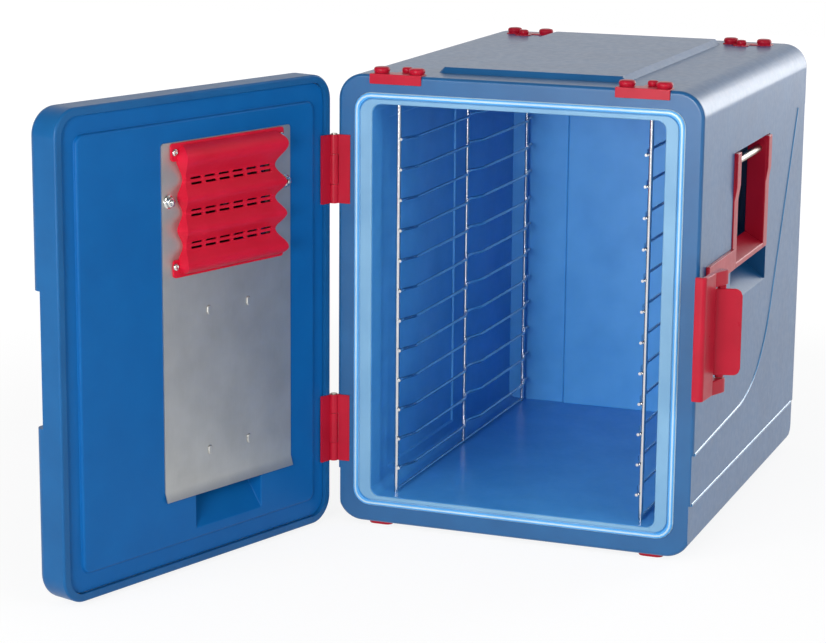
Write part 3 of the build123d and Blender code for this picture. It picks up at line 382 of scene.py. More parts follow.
SOFTENED = {
    "outer_shell": (shell_plastic, 1.2, 3),
    "inner_liner": (cavity_plastic_painted_light, 1.5, 3),
    "door_outer_shell": (door_plastic, 1.0, 2),
    "door_inner_panel": (liner_plastic, 1.2, 3),
    "cavity_seal": (seal_silicone, 0.5, 2),
    "foot_front_left": (red_nylon, 0.8, 2),
    "foot_front_right": (red_nylon, 0.8, 2),
    "foot_rear_left": (red_nylon, 0.8, 2),
    "foot_rear_right": (red_nylon, 0.8, 2),
    "hinge_leaf_body_upper": (red_nylon, 0.6, 2),
    "hinge_leaf_body_lower": (red_nylon, 0.6, 2),
    "hinge_leaf_door_upper": (red_nylon, 0.6, 2),
    "hinge_leaf_door_lower": (red_nylon, 0.6, 2),
    "latch_base": (red_nylon, 0.6, 2),
    "heater_plate": (plate_steel, 0.25, 2),
    "fan_grille": (red_grille_plastic, 0.7, 2),
    "plate_tabs": (plate_steel, 0.3, 2),
    "fan_impeller": (black_plastic, 0.3, 1),
    "fan_motor": (motor_steel, 0.6, 2),
    "control_box": (grey_plastic, 0.6, 2),
    "inlet_panel": (black_plastic, 0.6, 2),
    "power_switch": (black_plastic, 0.4, 2),
}
for node, (material, width, segments) in SOFTENED.items():
    piece = soften(node, material, width, segments)
    print(node, len(piece.data.polygons))


# %% [markdown]
# ## Nodes that keep their CAD mesh
# Hidden or very small pieces look right as they are and only need their finish: pins, rods, the
# heating ring and the foam behind the skins.

# %% Finishes for the remaining CAD nodes
FINISHES = {
    "body_foam": foam_core,
    "door_foam": foam_core,
    "hinge_pin_upper": rod_steel,
    "hinge_pin_lower": rod_steel,
    "latch_pin": rod_steel,
    "claw_pin": rod_steel,
    "bail_rod_right": rod_steel,
    "bail_rod_left": rod_steel,
    "heating_element": element_steel,
    "temperature_probe": element_steel,
    "inlet_pins": pin_brass,
}
for node, material in FINISHES.items():
    mesh = frame["nodes"][node].data
    mesh.materials.clear()
    mesh.materials.append(material)
print("finished in place:", len(FINISHES))

# %% [markdown]
# ## Geometry Nodes for what repeats or follows a path
# A tray rack is bent from wire: one runner shape, repeated at every level, and welded to three
# posts. Modelling each wire by hand would make every change slow, so trees grow them from points.
# These helpers build a tree with named inputs, end it, and keep what it grows as a plain mesh.


# %% Helpers for node trees
def geometry_tree(tree_name, **inputs):
    """A tree with a geometry input, the named inputs, a material input and a geometry output."""
    tree = bpy.data.node_groups.new(tree_name, "GeometryNodeTree")
    tree.interface.new_socket("Geometry", in_out="INPUT", socket_type="NodeSocketGeometry")
    for label, value in inputs.items():
        kind = "NodeSocketInt" if isinstance(value, int) else "NodeSocketFloat"
        name = label.replace("_", " ")
        socket = tree.interface.new_socket(name, in_out="INPUT", socket_type=kind)
        socket.default_value = value
    tree.interface.new_socket("Material", in_out="INPUT", socket_type="NodeSocketMaterial")
    tree.interface.new_socket("Geometry", in_out="OUTPUT", socket_type="NodeSocketGeometry")
    return tree, put(tree, "NodeGroupInput").outputs


def end_tree(tree, entry, geometry):
    """Ends a tree: real geometry, smooth shading and the material."""
    real = put(tree, "GeometryNodeRealizeInstances", [("Geometry", geometry)])
    smooth = put(tree, "GeometryNodeSetShadeSmooth", [(0, real.outputs[0])])
    dressed = put(
        tree,
        "GeometryNodeSetMaterial",
        [("Geometry", smooth.outputs[0]), ("Material", entry["Material"])],
    )
    put(tree, "NodeGroupOutput", [("Geometry", dressed.outputs[0])])
    return tree


def grown(name, points, edges, tree, material, body, replaced=(), **inputs):
    """Runs a tree on points and edges and puts the result, a plain mesh, on its body."""
    mesh = bpy.data.meshes.new(name)
    mesh.from_pydata([Vector(point) * MM for point in points], edges, [])
    obj = bpy.data.objects.new(name, mesh)
    bpy.context.scene.collection.objects.link(obj)
    modifier = obj.modifiers.new(tree.name, "NODES")
    modifier.node_group = tree
    inputs["Material"] = material
    for socket in tree.interface.items_tree:
        label = socket.name.replace(" ", "_")
        if socket.in_out == "INPUT" and label in inputs:
            modifier[socket.identifier] = inputs[label]
    plain_mesh(obj)
    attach(obj, body)
    if replaced:
        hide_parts(*replaced)
    print(name, len(obj.data.polygons))
    return obj


# %% [markdown]
# ## Wire along a route
# The route is a handful of points. The tree rounds its bends, gives it the wire's round section and
# stacks it at the pitch of the trays. Welds are small beads where the wires cross. The same tree
# draws the polished ridge round the cavity's mouth.


# %% Wire along a route, repeated upwards
def stacked(tree, entry, shape):
    """Sets a copy of a shape at each level."""
    offset = put(tree, "ShaderNodeCombineXYZ", [("Z", entry["Pitch"])])
    stack = put(
        tree, "GeometryNodeMeshLine", [("Count", entry["Levels"]), ("Offset", offset.outputs[0])]
    )
    placed = put(
        tree,
        "GeometryNodeInstanceOnPoints",
        [("Points", stack.outputs[0]), ("Instance", shape)],
    )
    return placed.outputs[0]


def wire_tree():
    """Rounds the bends of a route, gives it a round section and stacks copies upwards."""
    tree, entry = geometry_tree(
        "wire_stack", Wire_Radius=2.0 * MM, Bend_Radius=5.0 * MM, Levels=12, Pitch=40.0 * MM
    )
    curve = put(tree, "GeometryNodeMeshToCurve", [("Mesh", entry["Geometry"])])
    bent = put(
        tree,
        "GeometryNodeFilletCurve",
        [("Curve", curve.outputs[0]), ("Radius", entry["Bend Radius"])],
        mode="POLY",
        Count=5,
        Limit_Radius=True,
    )
    section = put(
        tree,
        "GeometryNodeCurvePrimitiveCircle",
        [("Radius", entry["Wire Radius"])],
        Resolution=12,
    )
    wire = put(
        tree,
        "GeometryNodeCurveToMesh",
        [("Curve", bent.outputs[0]), ("Profile Curve", section.outputs[0])],
        Fill_Caps=True,
    )
    return end_tree(tree, entry, stacked(tree, entry, wire.outputs[0]))


def bead_tree():
    """Sets a small round weld on each point and stacks copies upwards."""
    tree, entry = geometry_tree("weld_beads", Bead_Radius=2.6 * MM, Levels=12, Pitch=40.0 * MM)
    bead = put(
        tree,
        "GeometryNodeMeshUVSphere",
        [("Radius", entry["Bead Radius"])],
        Segments=12,
        Rings=8,
    )
    row = put(
        tree,
        "GeometryNodeInstanceOnPoints",
        [("Points", entry["Geometry"]), ("Instance", bead.outputs[0])],
    )
    return end_tree(tree, entry, stacked(tree, entry, row.outputs[0]))


wire_stack = wire_tree()
weld_beads = bead_tree()
print("trees:", wire_stack.name, weld_beads.name)

# %% [markdown]
# ## Tray racks
# The posts stand 28, 292 and 556 mm behind the mouth. Each runner bows 8 mm inwards between the
# posts, so that a tray cannot slip past them, and ends 9 mm behind the rear post.

# %% Tray racks
FRONT = -306.0
POST_X = 168.0
POSTS = ((FRONT + 28.0, 3.0), (FRONT + 292.0, 2.5), (FRONT + 556.0, 2.5))
RUNNER_Z, PITCH, LEVELS = 77.0, 40.0, 12
RACK_FOOT, RACK_HEAD = 43.3, 563.7
REAR_POST_RADIUS, RAIL_RADIUS = 2.5, 2
RUNNER_INSET, RUNNER_BOW, WELD_INSET, RAIL_INSET = 4.5, 8.0, 2.4, 3
BOW_START, BOW_END, RUNNER_TAIL = 6, 33, 9


def chain(count, closed=False):
    """Edges that join points one after the other."""
    return [(i, i + 1) for i in range(count - 1)] + ([(count - 1, 0)] if closed else [])


def runner_route(edge):
    """A runner's points from front to back; edge is -1 on the left and 1 on the right."""
    outer = edge * (POST_X - RUNNER_INSET)
    inner = edge * (POST_X - RUNNER_INSET - RUNNER_BOW)
    route = [(outer, POSTS[0][0] - BOW_START, RUNNER_Z)]
    for (start, _), (end, _) in zip(POSTS, POSTS[1:]):
        route += [(outer, start + BOW_START, RUNNER_Z), (inner, start + BOW_END, RUNNER_Z)]
        route += [(inner, end - BOW_END, RUNNER_Z), (outer, end - BOW_START, RUNNER_Z)]
    return route + [(outer, POSTS[-1][0] + RUNNER_TAIL, RUNNER_Z)]


for hand, edge in (("left", -1), ("right", 1)):
    route = runner_route(edge)
    grown(
        f"rack_runners_{hand}_wire", route, chain(len(route)), wire_stack, rack_wire, "box",
        [f"rack_runners_{hand}"], Levels=LEVELS, Pitch=PITCH * MM,
    )
    crossings = [(edge * (POST_X - WELD_INSET), place, RUNNER_Z) for place, _ in POSTS]
    grown(
        f"rack_welds_{hand}", crossings, [], weld_beads, rack_wire, "box",
        Levels=LEVELS, Pitch=PITCH * MM,
    )
    place, radius = POSTS[0]
    x = edge * (POST_X + radius - REAR_POST_RADIUS)
    post = [(x, place, RACK_FOOT), (x, place, RACK_HEAD)]
    grown(
        f"rack_post_front_{hand}", post, chain(2), wire_stack, rack_wire, "box",
        Wire_Radius=radius * MM, Levels=1,
    )
    points = [(edge * POST_X, place, z) for place, _ in POSTS[1:] for z in (RACK_FOOT, RACK_HEAD)]
    grown(
        f"rack_posts_{hand}", points, [(0, 1), (2, 3)], wire_stack, rack_wire, "box",
        [f"rack_frame_{hand}"], Wire_Radius=REAR_POST_RADIUS * MM, Levels=1,
    )
    heights = (RACK_FOOT + RAIL_INSET, RACK_HEAD - RAIL_INSET)
    rails = [(edge * POST_X, POSTS[i][0], z) for z in heights for i in (0, 2)]
    grown(
        f"rack_rails_{hand}", rails, [(0, 1), (2, 3)], wire_stack, rack_wire, "box",
        Wire_Radius=RAIL_RADIUS * MM, Levels=1,
    )


# %% [markdown]
# ## The polished ridge round the mouth
# The door's seal presses on a ridge that the tool polishes. Its pale blue, paler than the blasted
# flange round it, is a painted highlight. It is drawn as a bead along a rounded rectangle that lies
# half in the flange.

# %% Rim ridge
RIDGE_X, RIDGE_LOW, RIDGE_HIGH = 215.0, 33.0, 575.0
RIDGE_Y, RIDGE_RADIUS, RIDGE_CORNER = FRONT + 1.0, 4.3, 19
ridge = [(-RIDGE_X, RIDGE_LOW), (RIDGE_X, RIDGE_LOW), (RIDGE_X, RIDGE_HIGH), (-RIDGE_X, RIDGE_HIGH)]
grown(
    "rim_ridge", [(x, RIDGE_Y, z) for x, z in ridge], chain(4, closed=True), wire_stack,
    ridge_plastic_painted_highlight, "box", Wire_Radius=RIDGE_RADIUS * MM, Bend_Radius=RIDGE_CORNER * MM, Levels=1,
)

# %% [markdown]
# ## Turned templates on points
# Studs, screws and nuts are turned parts that come in sets. One template of each is turned from a
# short profile, and a tree sets copies on a few points, each spun by its own random angle as a
# fitter leaves them.


# %% Turned templates
def turned(work, profile, sides):
    """Turns a profile of (radius, height) pairs in millimetres about Z; few sides make a nut."""
    rings = []
    for radius, height in profile:
        steps = range(sides) if radius > 0 else range(1)
        angles = [2 * math.pi * step / sides for step in steps]
        spots = [Vector((radius * math.cos(a), radius * math.sin(a), height)) * MM for a in angles]
        rings.append([work.verts.new(spot) for spot in spots])
    for low, high in zip(rings, rings[1:]):
        for i in range(sides):
            j = (i + 1) % sides
            loop = [low[i % len(low)], low[j % len(low)], high[j % len(high)], high[i % len(high)]]
            loop = [v for k, v in enumerate(loop) if v not in loop[:k]]
            if len(loop) > 2:
                work.faces.new(loop)


def template(name, *turnings):
    """An object outside the scene that holds one or more turned shapes."""
    work = bmesh.new()
    for profile, sides in turnings:
        turned(work, profile, sides)
    bmesh.ops.recalc_face_normals(work, faces=work.faces)
    mesh = bpy.data.meshes.new(name)
    work.to_mesh(mesh)
    work.free()
    return bpy.data.objects.new(name, mesh)


# %% [markdown]
# The tree takes the template as an object, sets it on each point, faces it one way and spins it by
# a seeded random angle, so every run gives the same screws.


# %% The tree that sets a template
def scatter_tree():
    """Sets a template on every point, facing one way and spun by a random angle."""
    tree, entry = geometry_tree("set_on_points", Spin=3.14, Seed=7)
    tree.interface.new_socket("Template", in_out="INPUT", socket_type="NodeSocketObject")
    tree.interface.new_socket("Facing", in_out="INPUT", socket_type="NodeSocketVector")
    shape = put(tree, "GeometryNodeObjectInfo", [("Object", entry["Template"])])
    placed = put(
        tree,
        "GeometryNodeInstanceOnPoints",
        [
            ("Points", entry["Geometry"]),
            ("Instance", shape.outputs["Geometry"]),
            ("Rotation", entry["Facing"]),
        ],
    )
    angle = put(tree, "FunctionNodeRandomValue", [("Seed", entry["Seed"])], data_type="FLOAT")
    tree.links.new(entry["Spin"], angle.inputs[3])
    spin = put(tree, "ShaderNodeCombineXYZ", [("Z", angle.outputs[1])])
    spun = put(
        tree,
        "GeometryNodeRotateInstances",
        [("Instances", placed.outputs[0]), ("Rotation", spin.outputs[0])],
    )
    return end_tree(tree, entry, spun.outputs[0])


def pivoted(centre, angle):
    """A turn about an upright line through a point."""
    rotation = Matrix.Rotation(angle, 4, "Z")
    return Matrix.Translation(centre) @ rotation @ Matrix.Translation(-centre)


set_on_points = scatter_tree()
print("tree:", set_on_points.name)

# %% [markdown]
# ## Screws and nuts on the door
# Four pan-head screws hold the grille and two flange nuts hold the plate. Their places are written
# for the shut door, where they are easy to read, and then turned with it to the open one.

# %% Screws and nuts
HINGE = Vector((-247.0, -307.0, 0.0))
DOOR_OPEN = math.radians(-108.0)
DOOR_TURN = pivoted(HINGE, DOOR_OPEN)
DOOR_FACING = (DOOR_TURN.to_3x3() @ Vector((0, 1, 0))).to_track_quat("Z", "Y").to_euler()
HEATER_X, PLATE_FACE = -45.0, -306.8
SCREW_X, SCREW_HEIGHTS, GRILLE_FLANGE = 95.5, (392.0, 532.0), 2.5
NUT_X, NUT_Z = 105.0, 473.0

# Profiles are (radius, height) pairs in millimetres, each with its number of sides.
SCREW_HEAD = [
    (0, 1.0), (1.5, 1.0), (1.7, 2.3), (2.9, 2.6), (4.1, 1.9), (4.6, 0.7), (4.6, 0), (0, 0),
]
screw = template("pan_head_screw", (SCREW_HEAD, 24))
nut = template(
    "flange_nut",
    ([(0, 0), (8.5, 0), (8.7, 0.7), (8.3, 1.5), (0, 1.5)], 32),
    ([(6.6, 1.4), (6.9, 2.0), (6.9, 5.6), (6.0, 6.5), (3.4, 6.5), (3.2, 6.0)], 6),
    ([(0, 9.3), (2.3, 9.3), (3.0, 8.6), (3.0, 1.4)], 24),
)
screws = [
    DOOR_TURN @ Vector((HEATER_X + s * SCREW_X, PLATE_FACE + GRILLE_FLANGE, z))
    for s in (-1, 1)
    for z in SCREW_HEIGHTS
]
nuts = [DOOR_TURN @ Vector((HEATER_X + s * NUT_X, PLATE_FACE, NUT_Z)) for s in (-1, 1)]
grown(
    "grille_screws_turned", screws, [], set_on_points, bright_steel, "door", ["grille_screws"],
    Template=screw, Facing=DOOR_FACING,
)
grown(
    "plate_nuts_turned", nuts, [], set_on_points, bright_steel, "door", ["plate_nuts"],
    Template=nut, Facing=DOOR_FACING, Seed=3,
)

# %% [markdown]
# ## Solids from outlines
# Pads, arms and frames are built up from flat shapes. Each is an outline drawn from above or from
# the front and raised to a solid; where solids overlap, they read as one moulding.


# %% Outlines and solids
def rounded_rectangle(x, y, width, height, radius, steps=5):
    """The outline of a rectangle with round corners, counter-clockwise."""
    points = []
    for k, (sx, sy) in enumerate(((1, 1), (-1, 1), (-1, -1), (1, -1))):
        cx, cy = x + sx * (width / 2 - radius), y + sy * (height / 2 - radius)
        for i in range(steps + 1):
            a = math.pi / 2 * (k + i / steps)
            points.append((cx + radius * math.cos(a), cy + radius * math.sin(a)))
    return points


# Where an outline's two directions and its depth lie: seen from above, and from the front.
FROM_ABOVE = Matrix.Identity(4)
FROM_FRONT = Matrix(((1, 0, 0, 0), (0, 0, 1, 0), (0, 1, 0, 0), (0, 0, 0, 1)))


def prism(work, outline, low, high, view=FROM_ABOVE, turn=FROM_ABOVE):
    """Adds a solid on an outline between two depths, all in millimetres."""
    place = turn @ view
    ends = [
        [work.verts.new((place @ Vector((a, b, depth))) * MM) for a, b in outline]
        for depth in (low, high)
    ]
    work.faces.new(ends[0])
    work.faces.new(ends[1])
    for i in range(len(outline)):
        j = (i + 1) % len(outline)
        work.faces.new((ends[0][i], ends[0][j], ends[1][j], ends[1][i]))


def finished(work, name, material, body, replaced, width_mm, segments=3, angle=30.0):
    """Turns a bmesh into a piece with rounded edges on its body."""
    bmesh.ops.recalc_face_normals(work, faces=work.faces)
    mesh = bpy.data.meshes.new(name)
    work.to_mesh(mesh)
    work.free()
    obj = link(name, mesh, material, body, replaced)
    round_edges(obj, width_mm, segments, angle)
    return plain_mesh(obj)


# %% [markdown]
# ## Stacking corners
# Each corner is a thin red pad with two large studs near the rim and a small one behind them. The
# front pair also hooks over the front edge. The feet of the next box stand between the studs.

# %% Stacking corners
TOP, SUNK, REAR = 602.0, 0.5, 258.0
CORNER_X, PAD_WIDTH, PAD_DEPTH, PAD_RADIUS, PAD_RISE = 163.0, 70, 22, 4, 1.3
TONGUE_SHIFT, TONGUE_WIDTH, TONGUE_DEPTH, TONGUE_RISE = 5, 22, 40, 1.2
LIP_DROP, LIP_HEIGHT, LIP_RADIUS, LIP_PROUD = 5.2, 13, 1.0, 2.0
STUD_INSET, STUD_SPREAD, SMALL_STUD_BACK = 14.0, 24, 16
LARGE_STUD = [(0, 9.0), (6.5, 9.0), (9.2, 8.2), (10.4, 6.4), (10.5, 4.2), (9.4, 1.6), (9.4, 0)]
SMALL_STUD = [(0, 8.0), (4.0, 8.0), (6.2, 7.2), (7.0, 5.6), (7.0, 3.4), (6.2, 1.2), (6.2, 0)]
stud = template("stacking_stud", (LARGE_STUD, 40))
small_stud = template("small_stud", (SMALL_STUD, 32))


def corner_pad(x, rim, inward):
    """The pad of one corner; inward is 1 at the front rim and -1 at the rear one."""
    work = bmesh.new()
    pad = rounded_rectangle(x, rim + inward * PAD_DEPTH / 2, PAD_WIDTH, PAD_DEPTH, PAD_RADIUS)
    prism(work, pad, TOP - SUNK, TOP + PAD_RISE)
    tongue = rounded_rectangle(
        x + inward * TONGUE_SHIFT,
        rim + inward * TONGUE_DEPTH / 2,
        TONGUE_WIDTH,
        TONGUE_DEPTH,
        PAD_RADIUS,
    )
    prism(work, tongue, TOP - SUNK, TOP + TONGUE_RISE)
    if inward > 0:
        lip = rounded_rectangle(x, TOP - LIP_DROP, PAD_WIDTH, LIP_HEIGHT, LIP_RADIUS)
        prism(work, lip, FRONT - LIP_PROUD, FRONT + SUNK, FROM_FRONT)
    return work


for row, inward, rim in (("front", 1, FRONT), ("rear", -1, REAR)):
    for hand, edge in (("left", -1), ("right", 1)):
        x, stud_y = edge * CORNER_X, rim + inward * STUD_INSET
        name = f"stacking_corner_{row}_{hand}"
        finished(corner_pad(x, rim, inward), f"{name}_pad", red_nylon, "box", [name], 0.5)
        large = [(x - STUD_SPREAD, stud_y, TOP), (x + STUD_SPREAD, stud_y, TOP)]
        small = [(x + inward * TONGUE_SHIFT, stud_y + inward * SMALL_STUD_BACK, TOP)]
        for suffix, points, shape in (("studs", large, stud), ("small_stud", small, small_stud)):
            grown(
                f"{name}_{suffix}", points, [], set_on_points, red_nylon, "box", Template=shape
            )


# %% [markdown]
# ## The draw latch
# Drawn shut and then turned to where it hangs open. The lever is a bowed flap that the thumb
# presses; the claw is a frame whose hook drops into the door's notch. Both are thick mouldings
# with generous radii, because they are thrown against the box again and again.

# %% Latch lever
SIDE, MIDDLE = 242.0, 304.0
PIVOT = Vector((251.0, -298.0, 0.0))
LATCH_ARM = 18.0
SWING, CLAW_SWING = math.radians(-70.0), math.radians(67.0)
LEVER_TURN = pivoted(PIVOT, SWING)
CLAW_PIN = LEVER_TURN @ Vector((PIVOT.x, PIVOT.y + LATCH_ARM, 0.0))
CLAW_TURN = pivoted(CLAW_PIN, CLAW_SWING) @ LEVER_TURN
FLAP_START, FLAP_LENGTH, FLAP_STEPS = -3, 46, 24
FLAP_FACE, FLAP_THICKNESS, FLAP_HALF, FLAP_CORNER = 5.5, 4.5, 55.0, 9.0
SWELL, SWELL_LENGTH, SWELL_POWER = 3.0, 14, 0.8
LIP, LIP_START, LIP_LENGTH = 1.8, 20, 23
BARREL_RADIUS, CLAW_BARREL_HALF, WEB_HALF = 5.5, 59.0, 54.9
WEB_INNER, WEB_FRONT, WEB_REAR = 2, 6, 7


def circle(x, y, radius, steps=28):
    """The outline of a circle, counter-clockwise."""
    angles = [2 * math.pi * i / steps for i in range(steps)]
    return [(x + radius * math.cos(a), y + radius * math.sin(a)) for a in angles]


def flap_section(v):
    """Outer face, thickness and half height of the lever's flap, v behind its pivot."""
    swell = SWELL * min(max((v - FLAP_START) / SWELL_LENGTH, 0), 1) ** SWELL_POWER
    bow = swell + LIP * max((v - LIP_START) / LIP_LENGTH, 0) ** 2
    corner = max(v - (FLAP_START + FLAP_LENGTH - FLAP_CORNER), 0)
    half = FLAP_HALF - (FLAP_CORNER - math.sqrt(max(FLAP_CORNER**2 - corner**2, 0)))
    return FLAP_FACE + bow, FLAP_THICKNESS, half


def add_flap(work):
    """Adds the bowed flap to a bmesh as a row of four-cornered sections."""
    rings = []
    for step in range(FLAP_STEPS + 1):
        v = FLAP_START + FLAP_LENGTH * step / FLAP_STEPS
        outer, thick, half = flap_section(v)
        section = [(outer - thick, -half), (outer, -half), (outer, half), (outer - thick, half)]
        spots = [LEVER_TURN @ Vector((PIVOT.x + u, PIVOT.y + v, MIDDLE + z)) for u, z in section]
        rings.append([work.verts.new(spot * MM) for spot in spots])
    for low, high in zip(rings, rings[1:]):
        for i in range(4):
            work.faces.new((low[i], low[(i + 1) % 4], high[(i + 1) % 4], high[i]))
    work.faces.new(rings[0])
    work.faces.new(rings[-1])


work = bmesh.new()
add_flap(work)
for v, half in ((0.0, FLAP_HALF), (LATCH_ARM, CLAW_BARREL_HALF)):
    barrel = circle(PIVOT.x, PIVOT.y + v, BARREL_RADIUS)
    prism(work, barrel, MIDDLE - half, MIDDLE + half, turn=LEVER_TURN)
web = [(PIVOT.x - WEB_INNER, PIVOT.y), (PIVOT.x + WEB_FRONT, PIVOT.y)]
web += [(PIVOT.x + WEB_REAR, PIVOT.y + LATCH_ARM), (PIVOT.x - WEB_INNER, PIVOT.y + LATCH_ARM)]
prism(work, web, MIDDLE - WEB_HALF, MIDDLE + WEB_HALF, turn=LEVER_TURN)
lever = finished(
    work, "latch_lever_flap", red_nylon, "latch_lever_body", ["latch_lever"], 1.0, 3, 40
)
print(lever.name, len(lever.data.polygons))

# %% [markdown]
# The claw's outline is drawn as it lies with the latch shut, bent at the hook, and then turned
# about its own pin after the lever's turn.

# %% Latch claw
HOOK_FACE, HOOK_FRONT, HOOK_BEND, BEND_STEPS = -339.6, -345.6, 6, 6
HOOK_END, FRAME_BACK, ARM_FRONT = SIDE - 6, -304.5, -305.5
CLAW_INNER, CLAW_OUTER, CLAW_FLARE = 244.0, 250.0, 1
CLAW_HALF, CLAW_GAP_HALF = 78, 59.8
EYE_RADIUS, EYE_STEPS, NECK_X, NECK_BACK = 7.5, 10, 6.5, 6

quarter = [math.pi / 2 * i / BEND_STEPS for i in range(BEND_STEPS, -1, -1)]
hook = [(HOOK_END, HOOK_FRONT)] + [
    (
        CLAW_OUTER - HOOK_BEND + HOOK_BEND * math.cos(a),
        HOOK_FRONT + HOOK_BEND - HOOK_BEND * math.sin(a),
    )
    for a in quarter
]
plate = hook + [(CLAW_OUTER + CLAW_FLARE, FRAME_BACK), (CLAW_INNER, FRAME_BACK)]
plate += [(CLAW_INNER, HOOK_FACE), (HOOK_END, HOOK_FACE)]
pin_y = PIVOT.y + LATCH_ARM
arm = [(CLAW_INNER, ARM_FRONT), (CLAW_OUTER + CLAW_FLARE, ARM_FRONT)]
arm += [(PIVOT.x + NECK_X, pin_y - NECK_BACK), (PIVOT.x + EYE_RADIUS, pin_y)]
arm += [
    (PIVOT.x + EYE_RADIUS * math.cos(a), pin_y + EYE_RADIUS * math.sin(a))
    for a in [math.pi * i / EYE_STEPS for i in range(1, EYE_STEPS + 1)]
]
work = bmesh.new()
prism(work, plate, MIDDLE - CLAW_HALF, MIDDLE + CLAW_HALF, turn=CLAW_TURN)
for low, high in ((-CLAW_HALF, -CLAW_GAP_HALF), (CLAW_GAP_HALF, CLAW_HALF)):
    prism(work, arm, MIDDLE + low, MIDDLE + high, turn=CLAW_TURN)
claw = finished(
    work, "latch_claw_frame", red_nylon, "latch_claw_body", ["latch_claw"], 1.2, 3, 40
)
print(claw.name, len(claw.data.polygons))

# %% [markdown]
# ## Carrying handles
# A moulded bail hangs from a steel rod in its recess, almost flush with the side. Its arms carry a
# thicker boss round the rod that steps back to the arm below it, and the grip bar slopes inwards
# so that fingers slide under it.

# %% Bails
BAIL_X, BAIL_Z = 232.25, 486.0
BAIL_OUT, BAIL_IN, BAIL_FOOT = 243.6, 217.0, 347.0
BAIL_FRONT, BAIL_BACK, ARM = -140.0, 58.0, 22.0
SHOULDER, CROWN, FOOT_BEVEL = 8, 16, 3
GRIP_OUT, GRIP_IN, GRIP_LAP = 9, 24, 0.5
BOSS_RISE, BOSS_PROUD, BOSS_STEP, BOSS_DROP = 17.5, 3, 26, 46
BOSS_START, BOSS_FRONT_INSET, BOSS_BACK_INSET = 0.5, 1.5, 2.5

# Each outline is seen from the front, as (X, Z) pairs.
side_view = [
    (BAIL_OUT, BAIL_FOOT + FOOT_BEVEL),
    (BAIL_OUT, BAIL_Z + SHOULDER),
    (BAIL_OUT - SHOULDER, BAIL_Z + CROWN),
    (BAIL_IN + SHOULDER, BAIL_Z + CROWN),
    (BAIL_IN, BAIL_Z + SHOULDER),
    (BAIL_IN, BAIL_FOOT + FOOT_BEVEL),
    (BAIL_IN + FOOT_BEVEL, BAIL_FOOT),
    (BAIL_OUT - FOOT_BEVEL, BAIL_FOOT),
]
grip = [
    (BAIL_OUT, BAIL_FOOT + FOOT_BEVEL),
    (BAIL_OUT, BAIL_FOOT + GRIP_OUT),
    (BAIL_IN, BAIL_FOOT + GRIP_IN),
    (BAIL_IN, BAIL_FOOT + FOOT_BEVEL),
    (BAIL_IN + FOOT_BEVEL, BAIL_FOOT),
    (BAIL_OUT - FOOT_BEVEL, BAIL_FOOT),
]
boss = [
    (BAIL_X, BAIL_Z + BOSS_RISE),
    (BAIL_OUT + BOSS_PROUD, BAIL_Z + BOSS_RISE),
    (BAIL_OUT + BOSS_PROUD, BAIL_Z - BOSS_STEP),
    (BAIL_OUT, BAIL_Z - BOSS_DROP),
    (BAIL_X, BAIL_Z - BOSS_DROP),
]
arms = (
    (BAIL_FRONT, BAIL_FRONT + ARM, BOSS_FRONT_INSET),
    (BAIL_BACK - ARM, BAIL_BACK, BOSS_BACK_INSET),
)
for hand, edge in (("right", 1), ("left", -1)):
    work = bmesh.new()
    mirror = Matrix.Diagonal((edge, 1, 1, 1))
    for start, end, inset in arms:
        prism(work, side_view, start, end, FROM_FRONT, mirror)
        prism(work, boss, start + BOSS_START, end - inset, FROM_FRONT, mirror)
    span_start, span_end = BAIL_FRONT + ARM - GRIP_LAP, BAIL_BACK - ARM + GRIP_LAP
    prism(work, grip, span_start, span_end, FROM_FRONT, mirror)
    name = f"bail_{hand}"
    bail = finished(work, f"{name}_moulding", red_nylon, f"{name}_body", [name], 1.2)
    print(bail.name, len(bail.data.polygons))


# %% [markdown]
# ## Moulded beads on the sides
# The side walls step in below a long sweeping line and again near the foot. The tool leaves a
# narrow bead along each step; its paler, glossier blue is a painted highlight that draws the bright
# lines seen on the side.

# %% Side beads
SWEEP_X, SKIRT_X, SKIRT_Z = 240.9, 238.9, 76
BEAD_RADIUS, BEAD_BEND = 2.4, 160
SWEEP = ((-298, 142.3), (-52, 150.8), (25, 168), (86, 225), (232.6, 517))
for hand, edge in (("left", -1), ("right", 1)):
    sweep = [(edge * SWEEP_X, y, z) for y, z in SWEEP]
    skirt = [(edge * SKIRT_X, y, SKIRT_Z) for y in (-298, 274)]
    grown(
        f"side_bead_{hand}", sweep + skirt, [*chain(5), (5, 6)], wire_stack, bead_plastic_painted_highlight, "box",
        Wire_Radius=BEAD_RADIUS * MM, Bend_Radius=BEAD_BEND * MM, Levels=1,
    )


# %% [markdown]
# ## Floor
# The photograph was cut out on white with a faint shadow. A pale paper floor gives that. Light Path
# tells camera and mirror rays from the rest, and for those the paper mixes in plain white, more of
# it further out, so the shadow stays soft and pale and no more light falls on the object.

# %% Floor
FLOOR_HALF = 6.0
square = [(-FLOOR_HALF, -FLOOR_HALF), (FLOOR_HALF, -FLOOR_HALF)]
square += [(FLOOR_HALF, FLOOR_HALF), (-FLOOR_HALF, FLOOR_HALF)]
floor_mesh = bpy.data.meshes.new("floor")
floor_mesh.from_pydata([(x, y, 0) for x, y in square], [], [(0, 1, 2, 3)])
floor = bpy.data.objects.new("floor", floor_mesh)
bpy.context.scene.collection.objects.link(floor)


def mix_shaders(tree, factor, first, second):
    """Blends two shaders by a factor."""
    node = put(tree, "ShaderNodeMixShader", [(0, factor), (1, first), (2, second)])
    return node.outputs[0]


